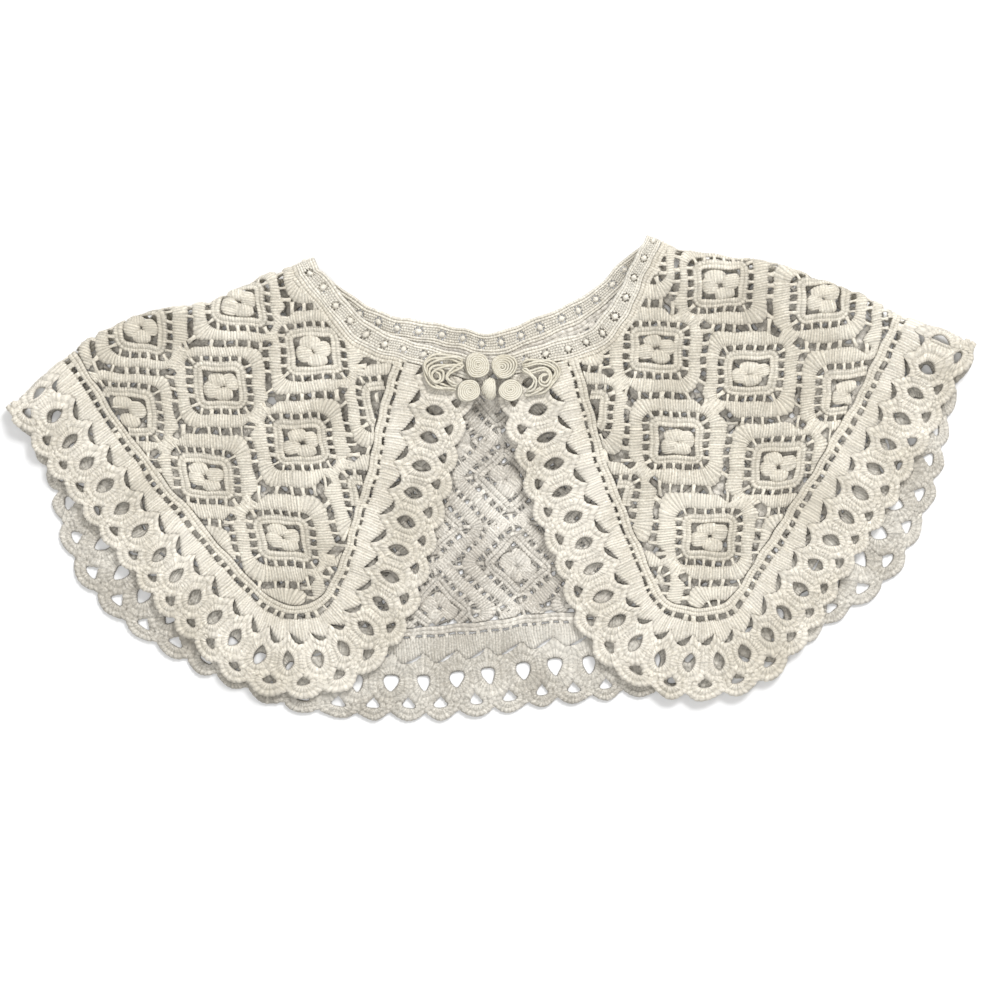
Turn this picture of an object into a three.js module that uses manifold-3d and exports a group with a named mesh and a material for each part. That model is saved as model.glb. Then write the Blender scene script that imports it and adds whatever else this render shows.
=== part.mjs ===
// A crocheted lace cape collar, fastened at the front and laid flat with its front side up.
// The back panel lies on the ground. Both fronts turn over at the shoulders and lie on top of it.
// Millimetres, +X to the right of the laid collar, +Y from the hem to the neck, +Z up.
// The origin is on the ground under the middle.

import * as THREE from 'three';
import { mergeVertices } from 'three/addons/utils/BufferGeometryUtils.js';
import Module from 'manifold-3d';

const { lerp, smoothstep, degToRad } = THREE.MathUtils;

// Lace
const LACE = 2.6; // thickness
const GAP = 0.3; // clearance of a cut from the other layer
const SEAM_GAP = 0.6; // between the body and the border
const COLUMNS = { front: 11, back: 19 }; // facets of the body along the neck
const ROWS = 8; // facets of the body from the neck to the hem
const FOLD_RADIUS = 5.5; // shoulder fold, in plan, to the middle of the lace
const FOLD_STEPS = 6;
const FOLD_SAMPLE_COUNT = 60;
const ROW_SAMPLES = 40;

// Border
const BORDER_WIDTH = 43; // seam to the crest of a scallop
const SPREAD = { back: 3, corner: 3, cornerReach: 0.12 }; // more width in mid back and at the front corners
const SCALLOP_DEPTH = 5;
const SCALLOP_STEPS = { left: 4, right: 4, back: 3 }; // facets of a scallop
const SCALLOPS = { left: 26, right: 28, back: 37 };
const FIRST_SCALLOP = { left: 0.64, right: 0.6, back: 0 }; // how much of the first scallop is missing
const HOLE_AT = 23.5; // big border hole, from the seam
const HOLE_LENGTH = 8;
const HOLE_WIDTH = 5.8;
const BACK_HOLES = { from: -70, to: 55 }; // the stretch of the back hem that shows in the opening
const CUT_REACH = 5; // of a cutter above and below the middle of the front layer
const TURN_REACH = 0.13; // share of a seam over which the border turns into the shoulder fold
const SMOOTHING = 14; // length each way over which a seam's outward direction is evened out
const SEAM_SAMPLES = 600;

// Neckband
const BAND_WIDTH = 12.4;
const BAND_GAP = 0.45; // between the band and the body
const FRONT_END = 41; // how far the band runs past the seam, over the border, to the front edge
const BAND_TILT = { usual: 3, rightFold: 40, reach: 42 }; // degrees, and mm from the fold

// Height of the front layer
const HEM_LIFT = 5.6;
const NECK_LIFT = { height: 6.4, reach: 62 };
const FOLD_LIFT = { height: 4, reach: 26 };
const RIGHT_RISE = { height: 4, reach: 34 };
const FLUTE = { height: 0.6, alongX: 21, alongY: 27 };

// Medallions: a rounded square with a slot along each side of its ring
const RING = { halfWidth: 15.5, slotLength: 17, slotWidth: 4.4 };

// Plan lines of the laid collar, each from a short table of points along it
const LINES = {
  leftFold: [
    { x: -97, y: 122 }, { x: -109, y: 117 }, { x: -127, y: 111 }, { x: -154, y: 98 }, { x: -180, y: 94 },
    { x: -210, y: 84 }, { x: -235, y: 67 }, { x: -268, y: 39 },
  ],
  rightFold: [
    { x: 81, y: 135 }, { x: 93, y: 131 }, { x: 105, y: 126 }, { x: 131, y: 122 }, { x: 156, y: 119 },
    { x: 197, y: 104 }, { x: 227, y: 90 }, { x: 267, y: 75 },
  ],
  leftNeck: [
    { x: -49, y: 64 }, { x: -64, y: 69 }, { x: -77, y: 77 }, { x: -89, y: 90 }, { x: -98, y: 101 },
  ],
  rightNeck: [
    { x: 42, y: 65 }, { x: 62, y: 73 }, { x: 73, y: 86 }, { x: 80, y: 98 }, { x: 86, y: 114 },
  ],
  backNeck: [
    { x: -94, y: 99 }, { x: -74, y: 84 }, { x: -56, y: 77 }, { x: -37, y: 75 }, { x: -20, y: 71 },
    { x: -1, y: 67 }, { x: 15, y: 72 }, { x: 32, y: 78 }, { x: 51, y: 87 }, { x: 66, y: 98 }, { x: 80, y: 114 },
  ],
  leftSeam: [
    { x: -49, y: 64 }, { x: -54, y: 45 }, { x: -64, y: 3 }, { x: -74, y: -32 }, { x: -81, y: -53 },
    { x: -87, y: -65 }, { x: -96, y: -73 }, { x: -106, y: -76 }, { x: -118, y: -74 }, { x: -128, y: -67 },
    { x: -148, y: -47 }, { x: -172, y: -19 }, { x: -194, y: 9 }, { x: -214, y: 36 },
  ],
  rightSeam: [
    { x: 42, y: 65 }, { x: 48, y: 43 }, { x: 61, y: 0 }, { x: 77, y: -38 }, { x: 84, y: -56 },
    { x: 91, y: -68 }, { x: 101, y: -75 }, { x: 115, y: -77 }, { x: 129, y: -74 }, { x: 139, y: -64 },
    { x: 160, y: -32 }, { x: 186, y: 10 }, { x: 207, y: 47 },
  ],
  backSeam: [
    { x: -215, y: 35 }, { x: -202, y: 7 }, { x: -196, y: -20 }, { x: -180, y: -44 }, { x: -143, y: -66 },
    { x: -107, y: -82 }, { x: -78, y: -87 }, { x: -52, y: -88 }, { x: -18, y: -86 }, { x: 26, y: -80 },
    { x: 70, y: -76 }, { x: 103, y: -73 }, { x: 134, y: -63 }, { x: 160, y: -46 }, { x: 186, y: -28 },
    { x: 201, y: -2 }, { x: 208, y: 27 }, { x: 215, y: 54 },
  ],
};
const NECK_FOLD_POINT = 1; // row of a fold table where the band meets the body
const SEAM_FOLD_POINT = 6; // row of a fold table where the body meets the border
const CORNER = { left: 0.46, right: 0.42 }; // share of a front seam where its lower corner is

// Medallions whose rings are cut through, and which sides of the ring are
const MEDALLIONS = [
  { layer: 'front', x: -101, y: 70, turn: 0, sides: [0, 1, 2, 3] },
  { layer: 'front', x: -107, y: 21, turn: 0, sides: [0, 1, 2, 3] },
  { layer: 'front', x: -115, y: -33, turn: 0, sides: [0, 1, 2, 3] },
  { layer: 'front', x: -139, y: 94, turn: 0, sides: [3] },
  { layer: 'front', x: -150, y: 52, turn: 0, sides: [0, 1, 2, 3] },
  { layer: 'front', x: -158, y: 2, turn: 0, sides: [0, 1, 2, 3] },
  { layer: 'front', x: -194, y: 80, turn: 0, sides: [3] },
  { layer: 'front', x: -200, y: 37, turn: 0, sides: [0, 1] },
  { layer: 'front', x: 88, y: 71, turn: 0, sides: [0, 1, 2, 3] },
  { layer: 'front', x: 101, y: 22, turn: 0, sides: [0, 1, 2, 3] },
  { layer: 'front', x: 119, y: -31, turn: 0, sides: [0, 1, 2, 3] },
  { layer: 'front', x: 124, y: 103, turn: 0, sides: [0, 2, 3] },
  { layer: 'front', x: 141, y: 59, turn: 0, sides: [0, 1, 2, 3] },
  { layer: 'front', x: 157, y: 7, turn: 0, sides: [0, 1, 2, 3] },
  { layer: 'front', x: 180, y: 95, turn: 0, sides: [3] },
  { layer: 'front', x: 193, y: 48, turn: 0, sides: [1, 2] },
  { layer: 'back', x: 14, y: -49, turn: 45, sides: [0, 1, 2, 3] },
  { layer: 'back', x: 8, y: -2, turn: 45, sides: [0, 1, 2, 3] },
];

// Frog fastening: seat is how far a piece stands clear of the lace below its middle
const ROSETTES = [
  { name: 'rosette_upper_left', x: -7.5, y: 61.9, radius: 6.9, height: 4.4, seat: 1.4 },
  { name: 'rosette_upper_right', x: 6.8, y: 61.6, radius: 6.9, height: 4.4, seat: 1.1 },
  { name: 'rosette_lower_left', x: -12.8, y: 48.2, radius: 6.5, height: 4.4, seat: 0.6 },
  { name: 'rosette_lower_right', x: 10.4, y: 48.2, radius: 6.3, height: 4.4, seat: 0.5 },
];
const KNOT = { x: -1.1, y: 48.7, halfWidth: 5, halfLength: 6.3, halfHeight: 4, seat: 0.5 };
const FROG_LOOPS = [
  {
    name: 'frog_loop_left',
    seat: 0.8,
    route: [
      { x: -16.4, y: 65 }, { x: -24, y: 67 }, { x: -32, y: 66 }, { x: -36, y: 61.5 }, { x: -34, y: 55.5 },
      { x: -28, y: 51 }, { x: -22.6, y: 50.6 }, { x: -21, y: 55.5 }, { x: -24.5, y: 59.6 }, { x: -29, y: 60 },
    ],
  },
  {
    name: 'frog_loop_right',
    seat: 0.8,
    route: [
      { x: 15.6, y: 63.6 }, { x: 24, y: 66 }, { x: 32, y: 63.6 }, { x: 36, y: 58.5 }, { x: 34, y: 52.5 },
      { x: 28, y: 48 }, { x: 20.6, y: 46.8 }, { x: 19.6, y: 52 }, { x: 23, y: 56.6 }, { x: 28, y: 57.6 },
    ],
  },
];
const LOOP = { halfWidth: 1.9, halfHeight: 1.3, steps: 22, sides: 6 };
const ROUND_SIDES = 14; // of a rosette and of the knot
const KNOT_RINGS = 9;

const SIDES = ['left', 'right'];
const vec = (p) => new THREE.Vector2(p.x, p.y);
const tableCurve = (points) => new THREE.SplineCurve(points.map(vec));

// Share of a curve's length at a row of its table
function shareAtRow(curve, row) {
  const lengths = curve.getLengths((curve.points.length - 1) * ROW_SAMPLES);
  return lengths[row * ROW_SAMPLES] / lengths[lengths.length - 1];
}

// A shoulder fold: its plan line, and where the band and the border meet the body on it
const folds = Object.fromEntries(SIDES.map((side) => {
  const curve = tableCurve(LINES[`${side}Fold`]);
  const length = curve.getLength();
  const neck = shareAtRow(curve, NECK_FOLD_POINT) * length;
  const seam = shareAtRow(curve, SEAM_FOLD_POINT) * length;
  return [side, { side, curve, length, neck, seam }];
}));

// The silhouette point at a distance along a fold, which runs on straight past its ends,
// and the edge where the sheet has come round into the front or the back layer
function foldAt(fold, distance) {
  const share = THREE.MathUtils.clamp(distance / fold.length, 0, 1);
  const along = fold.curve.getTangentAt(share);
  const point = fold.curve.getPointAt(share).addScaledVector(along, distance - share * fold.length);
  const turn = fold.side === 'left' ? 1 : -1;
  const inward = new THREE.Vector2(-along.y * turn, along.x * turn);
  const edge = point.clone().addScaledVector(inward, LACE / 2 + FOLD_RADIUS);
  return { point, along, inward, edge };
}

// Distance from a plan point to a line drawn through sampled points
function distanceTo(samples, p) {
  return Math.min(...samples.map((s) => s.distanceTo(p)));
}
const NECK_SAMPLES = [...LINES.leftNeck, ...LINES.rightNeck].map(vec);
const FOLD_SAMPLES = SIDES.flatMap((side) => folds[side].curve.getSpacedPoints(FOLD_SAMPLE_COUNT));
const RIGHT_NECK_FOLD = folds.right.curve.getPoint(NECK_FOLD_POINT / (LINES.rightFold.length - 1));
const fade = (distance, reach) => Math.exp(-((distance / reach) ** 2));

// Middle of the front layer above the ground
function frontHeight(p) {
  return HEM_LIFT
    + NECK_LIFT.height * fade(distanceTo(NECK_SAMPLES, p), NECK_LIFT.reach)
    + FOLD_LIFT.height * fade(distanceTo(FOLD_SAMPLES, p), FOLD_LIFT.reach)
    + RIGHT_RISE.height * fade(RIGHT_NECK_FOLD.distanceTo(p), RIGHT_RISE.reach)
    + FLUTE.height * Math.sin(p.x / FLUTE.alongX) * Math.cos(p.y / FLUTE.alongY);
}
const backHeight = () => LACE / 2;
const onFront = (p) => new THREE.Vector3(p.x, p.y, frontHeight(p));
const onBack = (p) => new THREE.Vector3(p.x, p.y, backHeight(p));

// A point round a shoulder fold: angle 90 on the front layer, 0 at the silhouette, -90 on the back layer
function aroundFold(fold, distance, angle) {
  const { point, inward, edge } = foldAt(fold, distance);
  const p = point.addScaledVector(inward, LACE / 2 + FOLD_RADIUS * (1 - Math.cos(angle)));
  const top = frontHeight(edge);
  const bottom = backHeight(edge);
  return new THREE.Vector3(p.x, p.y, (top + bottom) / 2 + ((top - bottom) / 2) * Math.sin(angle));
}
const FOLD_ANGLES = Array.from({ length: FOLD_STEPS + 1 }, (_, i) => degToRad(90 - (180 * i) / FOLD_STEPS));
const INNER_ANGLES = FOLD_ANGLES.slice(1, -1);

// A seam line with its facets, and the smooth direction that points away from the body
function seamLine(points, shares, outwardTurn, place) {
  const curve = new THREE.SplineCurve(points);
  const vertices = shares.map((share) => place(curve.getPointAt(share)));
  const span = SMOOTHING / curve.getLength();
  const at = (share) => {
    let k = shares.findIndex((s) => s >= share - 1e-9);
    k = Math.max(k, 1);
    const part = (share - shares[k - 1]) / (shares[k] - shares[k - 1]);
    return vertices[k - 1].clone().lerp(vertices[k], part);
  };
  const outward = (share) => {
    const before = curve.getPointAt(Math.max(0, share - span));
    const after = curve.getPointAt(Math.min(1, share + span));
    const along = after.sub(before).normalize();
    return new THREE.Vector2(-along.y * outwardTurn, along.x * outwardTurn);
  };
  return { vertices, at, outward };
}
function evenShares(count, from = 0, to = 1) {
  return Array.from({ length: count + 1 }, (_, i) => lerp(from, to, i / count));
}

// Seams: each front runs from the neck down the opening, round the corner and along the hem to its fold
const foldEdge = (side, where) => foldAt(folds[side], folds[side][where]).edge;
const seams = {};
for (const side of SIDES) {
  const turn = side === 'left' ? 1 : -1;
  const shares = [...evenShares(ROWS, 0, CORNER[side]), ...evenShares(COLUMNS.front, CORNER[side], 1).slice(1)];
  const seamPoints = [...LINES[`${side}Seam`].map(vec), foldEdge(side, 'seam')];
  seams[side] = seamLine(seamPoints, shares, turn, onFront);
  const neckPoints = [...LINES[`${side}Neck`].map(vec), foldEdge(side, 'neck')];
  seams[`${side}Neck`] = seamLine(neckPoints, evenShares(COLUMNS.front), -turn, onFront);
}
function backPoints(name, where) {
  return [foldEdge('left', where), ...LINES[name].map(vec), foldEdge('right', where)];
}
seams.back = seamLine(backPoints('backSeam', 'seam'), evenShares(COLUMNS.back), -1, onBack);
seams.backNeck = seamLine(backPoints('backNeck', 'neck'), evenShares(COLUMNS.back), 1, onBack);

// A sheet of lace: a grid of middle points, thickened both ways into one closed body
function sheetGeometry(grid, thickness = LACE) {
  const rows = grid.length;
  const columns = grid[0].length;
  const position = [];
  const index = [];
  const vertex = (i, j, face) => (i * columns + j) * 2 + face;
  for (let i = 0; i < rows; i += 1) {
    for (let j = 0; j < columns; j += 1) {
      const du = grid[Math.min(i + 1, rows - 1)][j].clone().sub(grid[Math.max(i - 1, 0)][j]);
      const dv = grid[i][Math.min(j + 1, columns - 1)].clone().sub(grid[i][Math.max(j - 1, 0)]);
      const normal = du.cross(dv).normalize().multiplyScalar(thickness / 2);
      position.push(...grid[i][j].clone().add(normal).toArray());
      position.push(...grid[i][j].clone().sub(normal).toArray());
    }
  }
  const quad = (a, b, c, d) => index.push(a, b, c, a, c, d);
  for (let i = 0; i < rows - 1; i += 1) {
    for (let j = 0; j < columns - 1; j += 1) {
      quad(vertex(i, j, 0), vertex(i + 1, j, 0), vertex(i + 1, j + 1, 0), vertex(i, j + 1, 0));
      quad(vertex(i, j, 1), vertex(i, j + 1, 1), vertex(i + 1, j + 1, 1), vertex(i + 1, j, 1));
    }
    quad(vertex(i, 0, 1), vertex(i + 1, 0, 1), vertex(i + 1, 0, 0), vertex(i, 0, 0));
    quad(vertex(i, columns - 1, 0), vertex(i + 1, columns - 1, 0), vertex(i + 1, columns - 1, 1),
      vertex(i, columns - 1, 1));
  }
  for (let j = 0; j < columns - 1; j += 1) {
    quad(vertex(0, j, 0), vertex(0, j + 1, 0), vertex(0, j + 1, 1), vertex(0, j, 1));
    quad(vertex(rows - 1, j, 1), vertex(rows - 1, j + 1, 1), vertex(rows - 1, j + 1, 0),
      vertex(rows - 1, j, 0));
  }
  const geometry = new THREE.BufferGeometry();
  geometry.setAttribute('position', new THREE.Float32BufferAttribute(position, 3));
  geometry.setIndex(index);
  return geometry;
}

// Solids for cutting
const wasm = await Module();
wasm.setup();
function toSolid(geometry) {
  const bare = geometry.clone();
  bare.deleteAttribute('normal');
  bare.deleteAttribute('uv');
  const merged = mergeVertices(bare, 1e-4);
  return new wasm.Manifold(new wasm.Mesh({
    numProp: 3,
    vertProperties: new Float32Array(merged.attributes.position.array),
    triVerts: new Uint32Array(merged.index.array),
  }));
}
function toGeometry(solid) {
  const mesh = solid.getMesh();
  const geometry = new THREE.BufferGeometry();
  geometry.setAttribute('position', new THREE.BufferAttribute(mesh.vertProperties, 3));
  geometry.setIndex(new THREE.BufferAttribute(mesh.triVerts, 1));
  geometry.computeVertexNormals();
  return geometry;
}

// An upright cutter of the given plan outline, through the front or the back layer only
function layerCutter(outline, layer, centre, angle) {
  const middle = frontHeight(centre);
  const span = layer === 'front'
    ? { from: Math.max(LACE + GAP, middle - CUT_REACH), to: middle + CUT_REACH }
    : { from: -GAP, to: LACE + GAP };
  const geometry = new THREE.ExtrudeGeometry(new THREE.Shape(outline.map(vec)), {
    depth: span.to - span.from,
    bevelEnabled: false,
  });
  geometry.rotateZ(angle);
  geometry.translate(centre.x, centre.y, span.from);
  return toSolid(geometry);
}
const cutAll = (solid, cutters) => cutters.reduce((left, cutter) => left.subtract(cutter), solid);

// A patch of the sheet between four lines of vertices: neck to hem, and start to end along the collar
function patch(neck, hem, start, end, place) {
  const last = { i: neck.length - 1, j: start.length - 1 };
  const mix = (a, b, t) => a.clone().lerp(b, t);
  return neck.map((neckPoint, i) => start.map((startPoint, j) => {
    const u = i / last.i;
    const v = j / last.j;
    const p = mix(neckPoint, hem[i], v).add(mix(startPoint, end[j], u))
      .sub(mix(mix(neck[0], neck[last.i], u), mix(hem[0], hem[last.i], u), v));
    const inside = i > 0 && i < last.i && j > 0 && j < last.j;
    return inside ? place(p) : p;
  }));
}

// Distances along a fold of the rows of the body
const foldRows = (fold) => evenShares(ROWS).map((v) => lerp(fold.neck, fold.seam, v));

function frontPatch(side) {
  const seam = seams[side].vertices;
  const fold = folds[side];
  const shoulder = foldRows(fold).map((distance) => onFront(foldAt(fold, distance).edge));
  return patch(seams[`${side}Neck`].vertices, seam.slice(ROWS), seam.slice(0, ROWS + 1), shoulder, onFront);
}

function foldPatch(fold) {
  return INNER_ANGLES.map((angle) => foldRows(fold).map((distance) => aroundFold(fold, distance, angle)));
}

// Lace body: left front, left shoulder fold, back, right shoulder fold, right front
function bodyGrid() {
  const edge = (fold) => foldRows(fold).map((distance) => onBack(foldAt(fold, distance).edge));
  const { backNeck, back: backSeam } = seams;
  const back = patch(backNeck.vertices, backSeam.vertices, edge(folds.left), edge(folds.right), onBack);
  return [
    ...frontPatch('left'),
    ...foldPatch(folds.left),
    ...back,
    ...foldPatch(folds.right).reverse(),
    ...frontPatch('right').reverse(),
  ];
}

// The slots that leave each medallion standing in its ring
function ringCutters() {
  const { halfWidth, slotLength, slotWidth } = RING;
  const corners = [[-1, -1], [1, -1], [1, 1], [-1, 1]];
  const outline = corners.map(([a, b]) => ({ x: (a * slotWidth) / 2, y: (b * slotLength) / 2 }));
  return MEDALLIONS.flatMap(({ layer, x, y, turn, sides }) => sides.map((side) => {
    const angle = degToRad(turn + 90 * side);
    const centre = new THREE.Vector2(x + halfWidth * Math.cos(angle), y + halfWidth * Math.sin(angle));
    return layerCutter(outline, layer, centre, angle);
  }));
}

// Scalloped border: how far it reaches at a phase of a scallop, 0 and 1 at its cusps
function scallopWidth(phase) {
  const bulge = Math.sqrt(Math.abs(Math.sin(Math.PI * phase)));
  return BORDER_WIDTH - SCALLOP_DEPTH * (1 - bulge);
}
const spread = (name, share) => (name === 'back'
  ? SPREAD.back * Math.sin(Math.PI * share)
  : SPREAD.corner * fade(share - CORNER[name], SPREAD.cornerReach));

// The outward direction along a seam, turned into the shoulder folds at its ends
function turnedOutward(seam, startFold, endFold, where, sign) {
  const along = (fold) => foldAt(fold, fold[where]).along.multiplyScalar(sign);
  return (share) => {
    const direction = seam.outward(share);
    if (startFold) direction.lerp(along(startFold), 1 - smoothstep(share, 0, TURN_REACH));
    if (endFold) direction.lerp(along(endFold), smoothstep(share, 1 - TURN_REACH, 1));
    return direction.normalize();
  };
}
const borderOutward = {
  left: turnedOutward(seams.left, null, folds.left, 'seam', 1),
  right: turnedOutward(seams.right, null, folds.right, 'seam', 1),
  back: turnedOutward(seams.back, folds.left, folds.right, 'seam', 1),
};
const plan = (p) => new THREE.Vector2(p.x, p.y);
function seamPoint(name, share, width) {
  return plan(seams[name].at(share)).addScaledVector(borderOutward[name](share), width);
}

// Stations of a seam, each with its share of the seam and its phase, that space the scallops evenly
// along the row of big holes. Whole phases are the cusps.
function scallopStations(name) {
  const row = evenShares(SEAM_SAMPLES).map((share) => seamPoint(name, share, HOLE_AT));
  const lengths = [0];
  for (let i = 1; i <= SEAM_SAMPLES; i += 1) {
    lengths.push(lengths[i - 1] + row[i].distanceTo(row[i - 1]));
  }
  const shareAt = (length) => {
    const i = Math.max(1, lengths.findIndex((l) => l >= length - 1e-9));
    return (i - 1 + (length - lengths[i - 1]) / (lengths[i] - lengths[i - 1])) / SEAM_SAMPLES;
  };
  const first = FIRST_SCALLOP[name];
  const steps = SCALLOP_STEPS[name];
  const phases = evenShares(SCALLOPS[name] * steps, 0, SCALLOPS[name]).filter((phase) => phase > first + 0.1);
  const whole = lengths[SEAM_SAMPLES] / (SCALLOPS[name] - first);
  return [first, ...phases].map((phase) => ({ phase, share: shareAt(whole * (phase - first)) }));
}
const scallops = Object.fromEntries(['left', 'right', 'back'].map((name) => [name, scallopStations(name)]));

// Each station of the border has an inner point beside the seam and an outer point on the scallop
function borderStations(name, place) {
  return scallops[name].map(({ phase, share }) => {
    const outward = borderOutward[name](share);
    const step = new THREE.Vector3(outward.x, outward.y, 0).multiplyScalar(SEAM_GAP);
    const crest = seamPoint(name, share, scallopWidth(phase) + spread(name, share));
    return [seams[name].at(share).add(step), place(crest)];
  });
}
function borderFold(fold) {
  return FOLD_ANGLES.map((angle, k) => [SEAM_GAP, scallopWidth(k / FOLD_STEPS)]
    .map((width) => aroundFold(fold, fold.seam + width, angle)));
}
function borderGrid() {
  return [
    ...borderStations('left', onFront).slice(0, -1),
    ...borderFold(folds.left),
    ...borderStations('back', onBack).slice(1, -1),
    ...borderFold(folds.right).reverse(),
    ...borderStations('right', onFront).slice(0, -1).reverse(),
  ];
}

// Drop-shaped holes, one inside each cusp: all along both fronts, and on the back where it shows
function borderCutters() {
  const outline = [
    { x: -0.5, y: 0 }, { x: -0.2, y: -0.5 }, { x: 0.2, y: -0.5 }, { x: 0.5, y: 0 }, { x: 0.2, y: 0.5 },
    { x: -0.2, y: 0.5 },
  ].map(({ x, y }) => ({ x: x * HOLE_LENGTH, y: y * HOLE_WIDTH }));
  const isWhole = (phase) => Math.abs(phase - Math.round(phase)) < 1e-6;
  const holes = (name, layer, shows) => scallops[name]
    .filter(({ phase }) => isWhole(phase) && phase > 0 && phase < SCALLOPS[name])
    .map(({ share }) => ({ centre: seamPoint(name, share, HOLE_AT), outward: borderOutward[name](share) }))
    .filter(({ centre }) => shows(centre))
    .map(({ centre, outward }) => layerCutter(outline, layer, centre, outward.angle()));
  const everywhere = () => true;
  return [
    ...holes('left', 'front', everywhere),
    ...holes('right', 'front', everywhere),
    ...holes('back', 'back', ({ x }) => x > BACK_HOLES.from && x < BACK_HOLES.to),
  ];
}

// Neckband: each station has its free edge first, then its seam edge, and it stands up at the right fold
function bandTilt(p) {
  const rise = fade(RIGHT_NECK_FOLD.distanceTo(p), BAND_TILT.reach);
  return degToRad(lerp(BAND_TILT.usual, BAND_TILT.rightFold, rise));
}
const seamClearance = (tilt) => BAND_GAP + (LACE / 2) * Math.sin(tilt);
function bandStation(base, outward) {
  const tilt = bandTilt(plan(base));
  const rising = new THREE.Vector3(outward.x * Math.cos(tilt), outward.y * Math.cos(tilt), Math.sin(tilt));
  return [BAND_WIDTH, seamClearance(tilt)].map((width) => base.clone().addScaledVector(rising, width));
}
function bandFront(side) {
  const seam = seams[`${side}Neck`];
  const outward = turnedOutward(seam, null, folds[side], 'neck', -1);
  const alongBorder = borderOutward[side](0);
  const turn = side === 'left' ? 1 : -1;
  const aside = new THREE.Vector2(-alongBorder.y * turn, alongBorder.x * turn);
  const start = plan(seam.vertices[0]);
  const overBorder = [1, 2 / 3, 1 / 3].map((share) => {
    const p = start.clone().addScaledVector(alongBorder, FRONT_END * share);
    return bandStation(onFront(p), aside);
  });
  const neckShares = evenShares(COLUMNS.front).slice(0, -1);
  return [...overBorder, ...neckShares.map((share) => bandStation(seam.at(share), outward(share)))];
}
function bandFold(fold) {
  const tilt = bandTilt(foldAt(fold, fold.neck).point);
  return FOLD_ANGLES.map((angle) => [BAND_WIDTH, seamClearance(tilt)].map((width) => {
    const p = aroundFold(fold, fold.neck - width * Math.cos(tilt), angle);
    p.z += width * Math.sin(tilt);
    return p;
  }));
}
function bandGrid() {
  const back = seams.backNeck;
  const outward = turnedOutward(back, folds.left, folds.right, 'neck', -1);
  return [
    ...bandFront('left'),
    ...bandFold(folds.left),
    ...evenShares(COLUMNS.back).slice(1, -1).map((share) => bandStation(back.at(share), outward(share))),
    ...bandFold(folds.right).reverse(),
    ...bandFront('right').reverse(),
  ];
}

// Frog fastening
const frogSeat = (p, seat) => frontHeight(vec(p)) + LACE / 2 + seat;

function rosetteGeometry({ radius, height }) {
  const profile = [[0, 0], [0.8, 0], [1, 0.3], [1, 0.6], [0.8, 0.85], [0.35, 1], [0, 1]];
  const points = profile.map(([r, h]) => new THREE.Vector2(r * radius, h * height));
  return new THREE.LatheGeometry(points, ROUND_SIDES).rotateX(Math.PI / 2);
}
function knotGeometry({ halfWidth, halfLength, halfHeight }) {
  return new THREE.SphereGeometry(1, ROUND_SIDES, KNOT_RINGS)
    .rotateX(Math.PI / 2)
    .scale(halfWidth, halfLength, halfHeight);
}
function loopGeometry({ route, seat }) {
  const section = evenShares(LOOP.sides, 0, 2 * Math.PI).slice(0, -1)
    .map((a) => new THREE.Vector2(LOOP.halfHeight * Math.cos(a), LOOP.halfWidth * Math.sin(a)));
  const middles = route.map((p) => new THREE.Vector3(p.x, p.y, frogSeat(p, seat) + LOOP.halfHeight));
  const path = new THREE.CatmullRomCurve3(middles);
  return new THREE.ExtrudeGeometry(new THREE.Shape(section), { steps: LOOP.steps, extrudePath: path });
}

// Materials
const lace = new THREE.MeshStandardMaterial({ color: 0xe4dece, roughness: 0.95, metalness: 0 });
const satin = new THREE.MeshStandardMaterial({ color: 0xe8e2c4, roughness: 0.45, metalness: 0 });

const collar = new THREE.Group();
function addPiece(name, geometry, material, position = { x: 0, y: 0, z: 0 }) {
  const mesh = new THREE.Mesh(geometry, material);
  mesh.name = name;
  mesh.position.set(position.x, position.y, position.z);
  collar.add(mesh);
}

addPiece('lace_body', toGeometry(cutAll(toSolid(sheetGeometry(bodyGrid())), ringCutters())), lace);
addPiece('scalloped_border', toGeometry(cutAll(toSolid(sheetGeometry(borderGrid())), borderCutters())), lace);
addPiece('neckband', sheetGeometry(bandGrid()), lace);
for (const rosette of ROSETTES) {
  const z = frogSeat(rosette, rosette.seat);
  addPiece(rosette.name, rosetteGeometry(rosette), satin, { ...rosette, z });
}
const knotMiddle = frogSeat(KNOT, KNOT.seat) + KNOT.halfHeight;
addPiece('knot_button', knotGeometry(KNOT), satin, { ...KNOT, z: knotMiddle });
for (const loop of FROG_LOOPS) addPiece(loop.name, loopGeometry(loop), satin);

export default collar;
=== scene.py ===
"""A crocheted lace cape collar laid flat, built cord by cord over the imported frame.

Lengths in the tables are millimetres in the frame's plan: +X right, +Y hem to neck, +Z up.
Each piece of lace is drawn flat, as points (x, y, h) with h above the middle of the cloth,
and then laid on the front layer, round a shoulder fold or on the back layer.
"""
import math

import bpy
import numpy as np
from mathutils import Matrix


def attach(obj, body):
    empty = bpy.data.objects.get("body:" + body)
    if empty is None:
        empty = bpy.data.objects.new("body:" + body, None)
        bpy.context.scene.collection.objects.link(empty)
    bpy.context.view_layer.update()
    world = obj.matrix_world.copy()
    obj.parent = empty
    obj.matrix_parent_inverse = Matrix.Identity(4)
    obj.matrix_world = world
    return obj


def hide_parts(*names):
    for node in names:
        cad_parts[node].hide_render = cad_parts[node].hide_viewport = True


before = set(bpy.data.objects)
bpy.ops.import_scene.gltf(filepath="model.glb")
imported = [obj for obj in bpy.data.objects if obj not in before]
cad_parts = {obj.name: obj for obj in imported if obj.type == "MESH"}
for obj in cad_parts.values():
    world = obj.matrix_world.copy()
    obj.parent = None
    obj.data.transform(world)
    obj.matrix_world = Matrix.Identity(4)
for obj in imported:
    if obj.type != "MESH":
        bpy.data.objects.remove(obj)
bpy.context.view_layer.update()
rng = np.random.default_rng(7)

# Cloth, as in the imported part
LACE = 2.6
FOLD_RADIUS = 5.5
BACK_RELIEF = 0.75
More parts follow.
